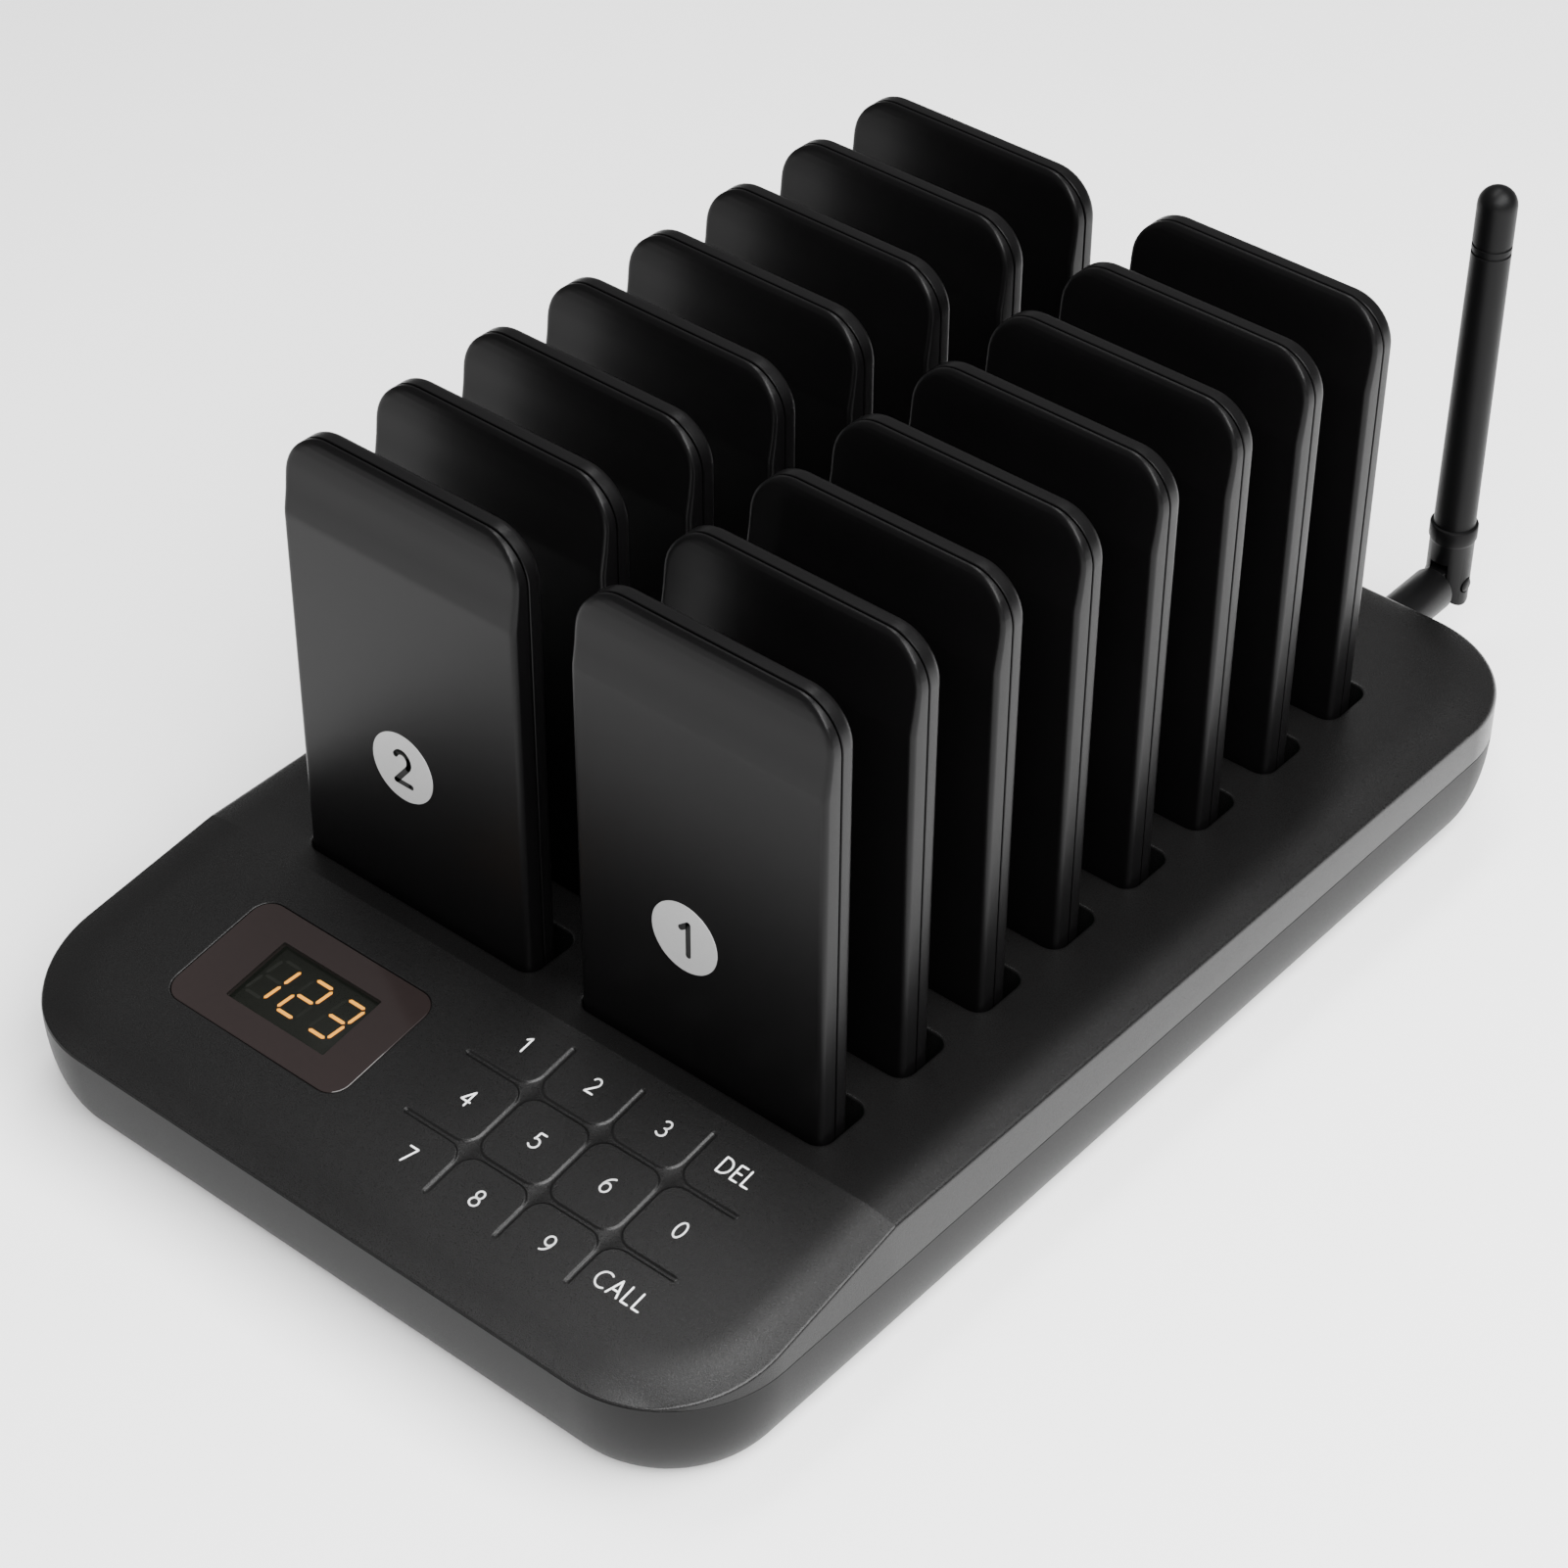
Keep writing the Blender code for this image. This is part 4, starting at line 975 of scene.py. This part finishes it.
class PAGING_OT_display(bpy.types.Operator):
    """Build the display's lens, its module, and the lit and unlit segments"""

    bl_idname = "paging.display"
    bl_label = "Display"

    def execute(self, context):
        display = context.scene.paging_display
        self.lens(display)
        black = moulded("module_face", (0.0070, 0.0078, 0.0062), 0.5, 0.06, 2.0 * MM, 0.002 * MM)
        bm = bmesh.new()
        soft_box(bm, MODULE_SIZE, (0, 0, -MODULE_SIZE[2] / 2), 0.15 * MM)
        onto_panel(bm, LENS_X + WINDOW_SHIFT, LENS_Y, -MODULE_DEPTH)
        attached(object_from(bm, "display_body", [black]), "base", "module_black", "display_module")
        amber = glowing("segment_amber", display.lit_colour, 2.6)
        rim = glowing("segment_orange", (1.0, 0.10, 0.002), 0.9)
        dark = polished("segment_unlit", (0.022, 0.023, 0.020), 0.5, shine=0.1)
        for lit in (True, False):
            bm = bmesh.new()
            for index, digit in enumerate(display.number):
                for name in "abcdefg":
                    if (name in SEGMENTS[digit]) == lit:
                        add_segment(bm, name, (index - 1) * DIGIT_PITCH)
            raised = bmesh.ops.extrude_face_region(bm, geom=bm.faces[:], use_keep_orig=True)
            corners = [piece for piece in raised["geom"] if isinstance(piece, bmesh.types.BMVert)]
            bmesh.ops.translate(bm, verts=corners, vec=(0, 0, SEGMENT_THICKNESS))
            bmesh.ops.recalc_face_normals(bm, faces=bm.faces)
            onto_panel(bm, DIGITS_AT[0], DIGITS_AT[1], -display.digit_depth - 0.04 * MM)
            finishes = [rim, amber] if lit else [dark, dark]
            attached(object_from(bm, "segments_lit" if lit else "segments_unlit", finishes), "base")
        return {"FINISHED"}

    def lens(self, display):
        """A flush plate printed from behind, with a clear window left in the print."""
        printed_back = polished("lens_print", display.lens_colour, 0.09, shine=0.28)
        window = polished("lens_window", (0.0060, 0.0065, 0.0050), 0.07, shine=0.28)
        window.node_tree.nodes["Principled BSDF"].inputs["Alpha"].default_value = 0.30
        bm = bmesh.new()
        face = rounded_face(bm, LENS_SIZE, (LENS_RADIUS, LENS_RADIUS), 10)
        width, drop = LENS_BEVEL
        inset(bm, [face], width)
        for corner in bm.verts:
            corner.co.z = 0.0 if corner in face.verts[:] else -drop
        ring = list(face.edges)
        bmesh.ops.delete(bm, geom=[face], context="FACES_ONLY")
        size = (display.window_width, display.window_length)
        pane = rounded_face(bm, size, (WINDOW_RADIUS, WINDOW_RADIUS), 3, (WINDOW_SHIFT, 0.0))
        bmesh.ops.triangle_fill(bm, edges=ring + list(pane.edges), use_beauty=True, normal=(0, 0, 1))
        pane.material_index = 1
        grown = bmesh.ops.extrude_face_region(bm, geom=bm.faces[:], use_keep_orig=True)
        for piece in grown["geom"]:
            if isinstance(piece, bmesh.types.BMVert):
                piece.co.z = -LENS_THICKNESS
        bmesh.ops.recalc_face_normals(bm, faces=bm.faces)
        onto_panel(bm, LENS_X, LENS_Y, -0.02 * MM)
        lens = object_from(bm, "display_lens_plate", [printed_back, window], 30)
        attached(lens, "base", "lens_smoke", "display_lens")


# Pagers

def slope_back(share):
    """The front's depth as a share of the full depth, from the shoulder (0) to the top edge (1)."""
    for (low, first), (high, second) in zip(SLOPE_BACK, SLOPE_BACK[1:]):
        if share <= high:
            return first + (second - first) * (share - low) / (high - low)
    return SLOPE_BACK[-1][1]


def half_case(pager, depth, fillet, sloped):
    """Half a pager lying on its seam, with x across it, y up it and z out from the seam."""
    bm = bmesh.new()
    middle = (PAGER_LOW.z + PAGER_HIGH.z) / 2
    seam = rounded_face(bm, PAGER_SIZE, (pager.bottom_radius, pager.top_radius), 12, (0, middle))
    grown = bmesh.ops.extrude_face_region(bm, geom=[seam], use_keep_orig=True)
    outer = next(piece for piece in grown["geom"] if isinstance(piece, bmesh.types.BMFace))
    steps = [(reach, depth - drop) for reach, drop in fillet_steps(fillet, 6)]
    sink(bm, [outer], steps + [(fillet + 0.4 * MM, depth)])
    sink(bm, [seam], [(0.0, SEAM_HALF + SEAM_ROUND), (SEAM_ROUND, SEAM_HALF), (POCKET_INSET, SEAM_HALF)])
    shoulder = PAGER_HIGH.z - pager.shoulder
    for corner in seam.verts:
        corner.co.y = min(corner.co.y, shoulder - 0.5 * MM)
    pushed(bm, seam, (0, 0, POCKET_FLOOR - SEAM_HALF))
    if sloped:
        for step in SLOPE_BACK[:-1]:
            cut_across(bm, shoulder + pager.shoulder * step[0])
        for corner in bm.verts:
            if corner.co.z > 0.5 * MM and corner.co.y > shoulder:
                corner.co.z *= slope_back((corner.co.y - shoulder) / pager.shoulder)
    bmesh.ops.recalc_face_normals(bm, faces=bm.faces)
    return bm


def standing(bm, facing_back):
    """Stands a half case up on its foot, facing the front or the back."""
    turn = Matrix.Rotation(math.pi / 2, 4, "X")
    if facing_back:
        turn = Matrix.Rotation(math.pi, 4, "Z") @ turn
    bmesh.ops.transform(bm, matrix=turn, verts=bm.verts)


def pager_places():
    """(body name, x, seam y) of each pager, row by row from the front; odd ones are on the right."""
    for row in range(ROWS):
        for column, side in enumerate((1, -1)):
            yield f"pager_{2 * row + column + 1:02d}", side * PAGER_X, SEAM_Y + row * ROW_PITCH


class PAGING_OT_pagers(bpy.types.Operator):
    """Build the sixteen pagers' cases and their charging contacts"""

    bl_idname = "paging.pagers"
    bl_label = "Pagers"

    def execute(self, context):
        pager = context.scene.paging_pager
        black = moulded("pager_abs", pager.case_colour, 0.34, 0.06, 0.18 * MM, 0.014 * MM, shine=0.12)
        gold = polished("contact_gold", (0.83, 0.60, 0.28), 0.22, 1.0)
        halves = {
            "front": half_case(pager, FRONT_DEPTH, pager.front_fillet, True),
            "back": half_case(pager, BACK_DEPTH, pager.back_fillet, False),
        }
        for kind, shape in halves.items():
            standing(shape, kind == "back")
        for name, x, y in pager_places():
            for kind, shape in halves.items():
                bm = shape.copy()
                bmesh.ops.translate(bm, verts=bm.verts, vec=(x, y, 0))
                case = object_from(bm, f"{name}_{kind}_case", [black], 35)
                attached(case, name, "pager_black", f"{name}_{kind}_shell")
            bm = bmesh.new()
            for side in (-1, 1):
                at = (x + side * CONTACT_X, y + CONTACT_Y, PAGER_LOW.z + 0.02 * MM)
                soft_box(bm, CONTACT_SIZE, at, 0.05 * MM, 1)
            attached(object_from(bm, f"{name}_contacts", [gold]), name, "socket_brass")
        for shape in halves.values():
            shape.free()
        return {"FINISHED"}


class PAGING_OT_labels(bpy.types.Operator):
    """Stick the round number labels on the front pagers"""

    bl_idname = "paging.labels"
    bl_label = "Number labels"

    def execute(self, context):
        pager = context.scene.paging_pager
        paper = polished("label_silver", pager.label_colour, 0.42, 0.35, 1500.0)
        ink = moulded("label_ink", (0.012, 0.012, 0.012), 0.45, 0.05, 0.3 * MM, 0.002 * MM)
        for name, x, y in pager_places():
            if name not in LABELS:
                continue
            text, shift, height = LABELS[name]
            place = Matrix.Translation((x + shift, y - FRONT_DEPTH, height))
            front = place @ Matrix.Rotation(math.pi / 2, 4, "X")
            radius = pager.label_diameter / 2
            profile = [(0, -0.02 * MM), (radius, -0.02 * MM), (radius, LABEL_THICKNESS - LABEL_EDGE)]
            profile += [(radius - LABEL_EDGE, LABEL_THICKNESS), (0, LABEL_THICKNESS)]
            bm = bmesh.new()
            turned(bm, profile, 72)
            bmesh.ops.transform(bm, matrix=front, verts=bm.verts)
            attached(object_from(bm, f"{name}_label", [paper]), name)
            bm = printed(text, NUMERAL_HEIGHT, NUMERAL_STROKE, 0.03 * MM)
            front = front @ Matrix.Translation((0, 0, LABEL_THICKNESS - 0.01 * MM))
            bmesh.ops.transform(bm, matrix=front, verts=bm.verts)
            attached(object_from(bm, f"{name}_label_number", [ink]), name)
        return {"FINISHED"}


class PAGING_OT_antenna(bpy.types.Operator):
    """Build the antenna's swivel and its folding mast"""

    bl_idname = "paging.antenna"
    bl_label = "Antenna"

    def execute(self, context):
        antenna = context.scene.paging_antenna
        black = moulded("antenna_abs", antenna.antenna_colour, 0.42, 0.05, 0.20 * MM, 0.008 * MM, shine=0.10)
        self.mast(antenna, black)
        self.swivel(black)
        return {"FINISHED"}

    def mast(self, antenna, black):
        """The rod with its collar, its two grooves near the tip and its forked foot."""
        top = MAST_HIGH.z - HINGE.z
        foot, collar, tip = antenna.foot_radius, antenna.collar_radius, antenna.tip_radius
        profile = [(0, MAST_FOOT), (foot, MAST_FOOT), (foot, 10.2 * MM), (foot + 0.1 * MM, 10.4 * MM)]
        profile += [(collar, 11.0 * MM), (collar, 13.8 * MM), (collar - 0.15 * MM, 14.05 * MM)]
        profile += [*MAST_TAPER, (tip, TAPER_END)]
        for middle in TIP_GROOVES:
            profile += [(tip, middle - 0.30 * MM), (tip - 0.25 * MM, middle - 0.18 * MM)]
            profile += [(tip - 0.25 * MM, middle + 0.18 * MM), (tip, middle + 0.30 * MM)]
        dome = top - tip
        profile.append((tip, dome - 0.6 * MM))
        for turn in range(0, 90, 9):
            angle = math.radians(turn)
            profile.append((tip * math.cos(angle), dome + tip * math.sin(angle)))
        profile.append((0, top))
        bm = bmesh.new()
        turned(bm, profile, ROUND_STEPS)
        bmesh.ops.translate(bm, verts=bm.verts, vec=HINGE)
        mast = object_from(bm, "antenna_rod", [black])
        rounded_foot = rod_tool(KNUCKLE, 14 * MM, HINGE, "X")
        for corner in rounded_foot.verts:
            if corner.co.z > HINGE.z:
                corner.co.z += top
                corner.co.y = HINGE.y + (corner.co.y - HINGE.y) * KNUCKLE_DEPTH
        carve(mast, [rounded_foot], "INTERSECT")
        gap_middle = HINGE + Vector((0, 0, FORK_TOP - FORK_HEIGHT / 2))
        slot = box_tool((FORK_GAP, 14 * MM, FORK_HEIGHT), gap_middle)
        pin = rod_tool(PIN_HOLE, 14 * MM, HINGE, "X", 32)
        carve(mast, [slot, pin])
        smoothed(mast.data, 35)
        attached(mast, "antenna_mast", "antenna_black", "antenna_mast")

    def swivel(self, black):
        """The stub that turns in the base, with the tongue and the pin of the fold."""
        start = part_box("antenna_swivel")[0].y - HINGE.y
        stop, radius = STUB_END, STUB_RADIUS
        neck, depth = STUB_NECK
        profile = [(0, start + depth), (neck, start + depth), (neck, start)]
        profile += [(radius - 0.35 * MM, start), (radius, start + 0.35 * MM), (radius, stop - 0.5 * MM)]
        profile += [(radius - 0.15 * MM, stop - 0.15 * MM), (radius - 0.5 * MM, stop), (0, stop)]
        bm = bmesh.new()
        turned(bm, profile, ROUND_STEPS, "Y", HINGE)
        swivel = object_from(bm, "antenna_stub", [black])
        tongue = bmesh.new()
        turned(tongue, in_mm(TONGUE), ROUND_STEPS, "X", HINGE)
        root = box_tool(TONGUE_ROOT, HINGE + Vector((0, -TONGUE_ROOT[1] / 2, 0)))
        carve(swivel, [tongue, root], "UNION")
        smoothed(swivel.data, 35)
        attached(swivel, "antenna_swivel", "antenna_black", "antenna_swivel")
        bm = bmesh.new()
        turned(bm, in_mm(HINGE_PIN), 32, "X", HINGE)
        attached(object_from(bm, "antenna_hinge_pin", [black]), "antenna_swivel")


class PAGING_OT_fittings(bpy.types.Operator):
    """Build the charging pins and the inlet's pin, and finish the parts kept from the CAD frame"""

    bl_idname = "paging.fittings"
    bl_label = "Fittings"

    def execute(self, context):
        gold = bpy.data.materials["contact_gold"]
        green = moulded("solder_mask", (0.004, 0.020, 0.009), 0.35, 0.06, 0.5 * MM, 0.004 * MM, 0.2)
        rubber = moulded("foot_rubber", (0.012, 0.012, 0.012), 0.80, 0.08, 0.3 * MM, 0.02 * MM)
        brass = polished("turned_brass", (0.70, 0.50, 0.22), 0.25, 1.0, 2500.0)
        connector = moulded("connector_nylon", (0.010, 0.010, 0.010), 0.45, 0.05, 0.3 * MM, 0.006 * MM)
        for name, node in frame["nodes"].items():
            finish = None
            if name.endswith("_core") or name in ("control_board", "charging_board"):
                finish = green
            elif name.startswith("foot_strip"):
                finish = rubber
            elif name == "antenna_socket":
                finish = brass
            elif name == "power_inlet":
                finish = connector
            if finish:
                node.data.materials.clear()
                node.data.materials.append(finish)
        bm = bmesh.new()
        for name, x, y in pager_places():
            for side in (-1, 1):
                at = (x + side * CONTACT_X, y + CONTACT_Y, BOARD_HIGH.z)
                turned(bm, in_mm(CHARGING_PIN), 20, "Z", at)
        attached(object_from(bm, "charging_pins", [gold]), "base", "socket_brass")
        bm = bmesh.new()
        turned(bm, in_mm(INLET_PIN), 20, "Y", JACK)
        attached(object_from(bm, "inlet_pin", [brass]), "base", "socket_brass")
        return {"FINISHED"}


class PAGING_OT_stage(bpy.types.Operator):
    """Set up the floor, the lights and the camera"""

    bl_idname = "paging.stage"
    bl_label = "Stage"

    def execute(self, context):
        stage = context.scene.paging_stage
        bm = bmesh.new()
        bmesh.ops.create_grid(bm, x_segments=2, y_segments=2, size=stage.floor_size / 2)
        white = moulded("floor_paper", (0.93, 0.93, 0.93), 0.85, 0.04, 3 * MM, 0.01 * MM, 0.005)
        floor = object_from(bm, "floor", [white])
        world = bpy.data.worlds.new("studio")
        context.scene.world = world
        world.use_nodes = True
        sky = world.node_tree.nodes["Background"]
        sky.inputs["Color"].default_value = (1, 1, 1, 1)
        sky.inputs["Strength"].default_value = stage.sky
        for name, place, size, power in (
            ("strip_light", stage.strip_place, stage.strip_size, stage.strip_power),
            ("softbox", stage.softbox_place, stage.softbox_size, stage.key_power),
        ):
            data = bpy.data.lights.new(name, "AREA")
            data.shape = "RECTANGLE"
            data.size, data.size_y = size
            data.energy = power
            lamp = bpy.data.objects.new(name, data)
            lamp.location = place
            context.scene.collection.objects.link(lamp)
        data = bpy.data.cameras.new("camera")
        data.lens = CAMERA_LENS
        data.sensor_width = 36.0
        data.shift_x, data.shift_y = CAMERA_SHIFT
        data.clip_start = 0.01
        camera = bpy.data.objects.new("camera", data)
        right, down, ahead = Vector(CAMERA_RIGHT), Vector(CAMERA_DOWN), Vector(CAMERA_AHEAD)
        axes = Matrix((right, -down, -ahead)).transposed().to_4x4()
        camera.matrix_world = Matrix.Translation(CAMERA_PLACE) @ axes
        context.scene.collection.objects.link(camera)
        context.scene.camera = camera
        return {"FINISHED"}


class PAGING_PT_station(bpy.types.Panel):
    """Lists the steps that build the paging station"""

    bl_idname = "PAGING_PT_station"
    bl_label = "Paging Station"
    bl_space_type = "VIEW_3D"
    bl_region_type = "UI"
    bl_category = "Paging Station"

    def draw(self, context):
        for operator in OPERATORS:
            self.layout.operator(operator.bl_idname)


SETTINGS = {
    "paging_case": PagingCaseSettings,
    "paging_keys": PagingKeySettings,
    "paging_display": PagingDisplaySettings,
    "paging_pager": PagingPagerSettings,
    "paging_antenna": PagingAntennaSettings,
    "paging_stage": PagingStageSettings,
}
OPERATORS = (
    PAGING_OT_lid,
    PAGING_OT_tray,
    PAGING_OT_legends,
    PAGING_OT_display,
    PAGING_OT_pagers,
    PAGING_OT_labels,
    PAGING_OT_antenna,
    PAGING_OT_fittings,
    PAGING_OT_stage,
)


def register():
    for each in (*SETTINGS.values(), *OPERATORS, PAGING_PT_station):
        bpy.utils.register_class(each)
    for name, group in SETTINGS.items():
        setattr(bpy.types.Scene, name, bpy.props.PointerProperty(type=group))


def unregister():
    for name in SETTINGS:
        delattr(bpy.types.Scene, name)
    for each in reversed((*SETTINGS.values(), *OPERATORS, PAGING_PT_station)):
        bpy.utils.unregister_class(each)


def main():
    register()
    for operator in OPERATORS:
        group, name = operator.bl_idname.split(".")
        getattr(getattr(bpy.ops, group), name)()


if __name__ == "__main__":
    main()
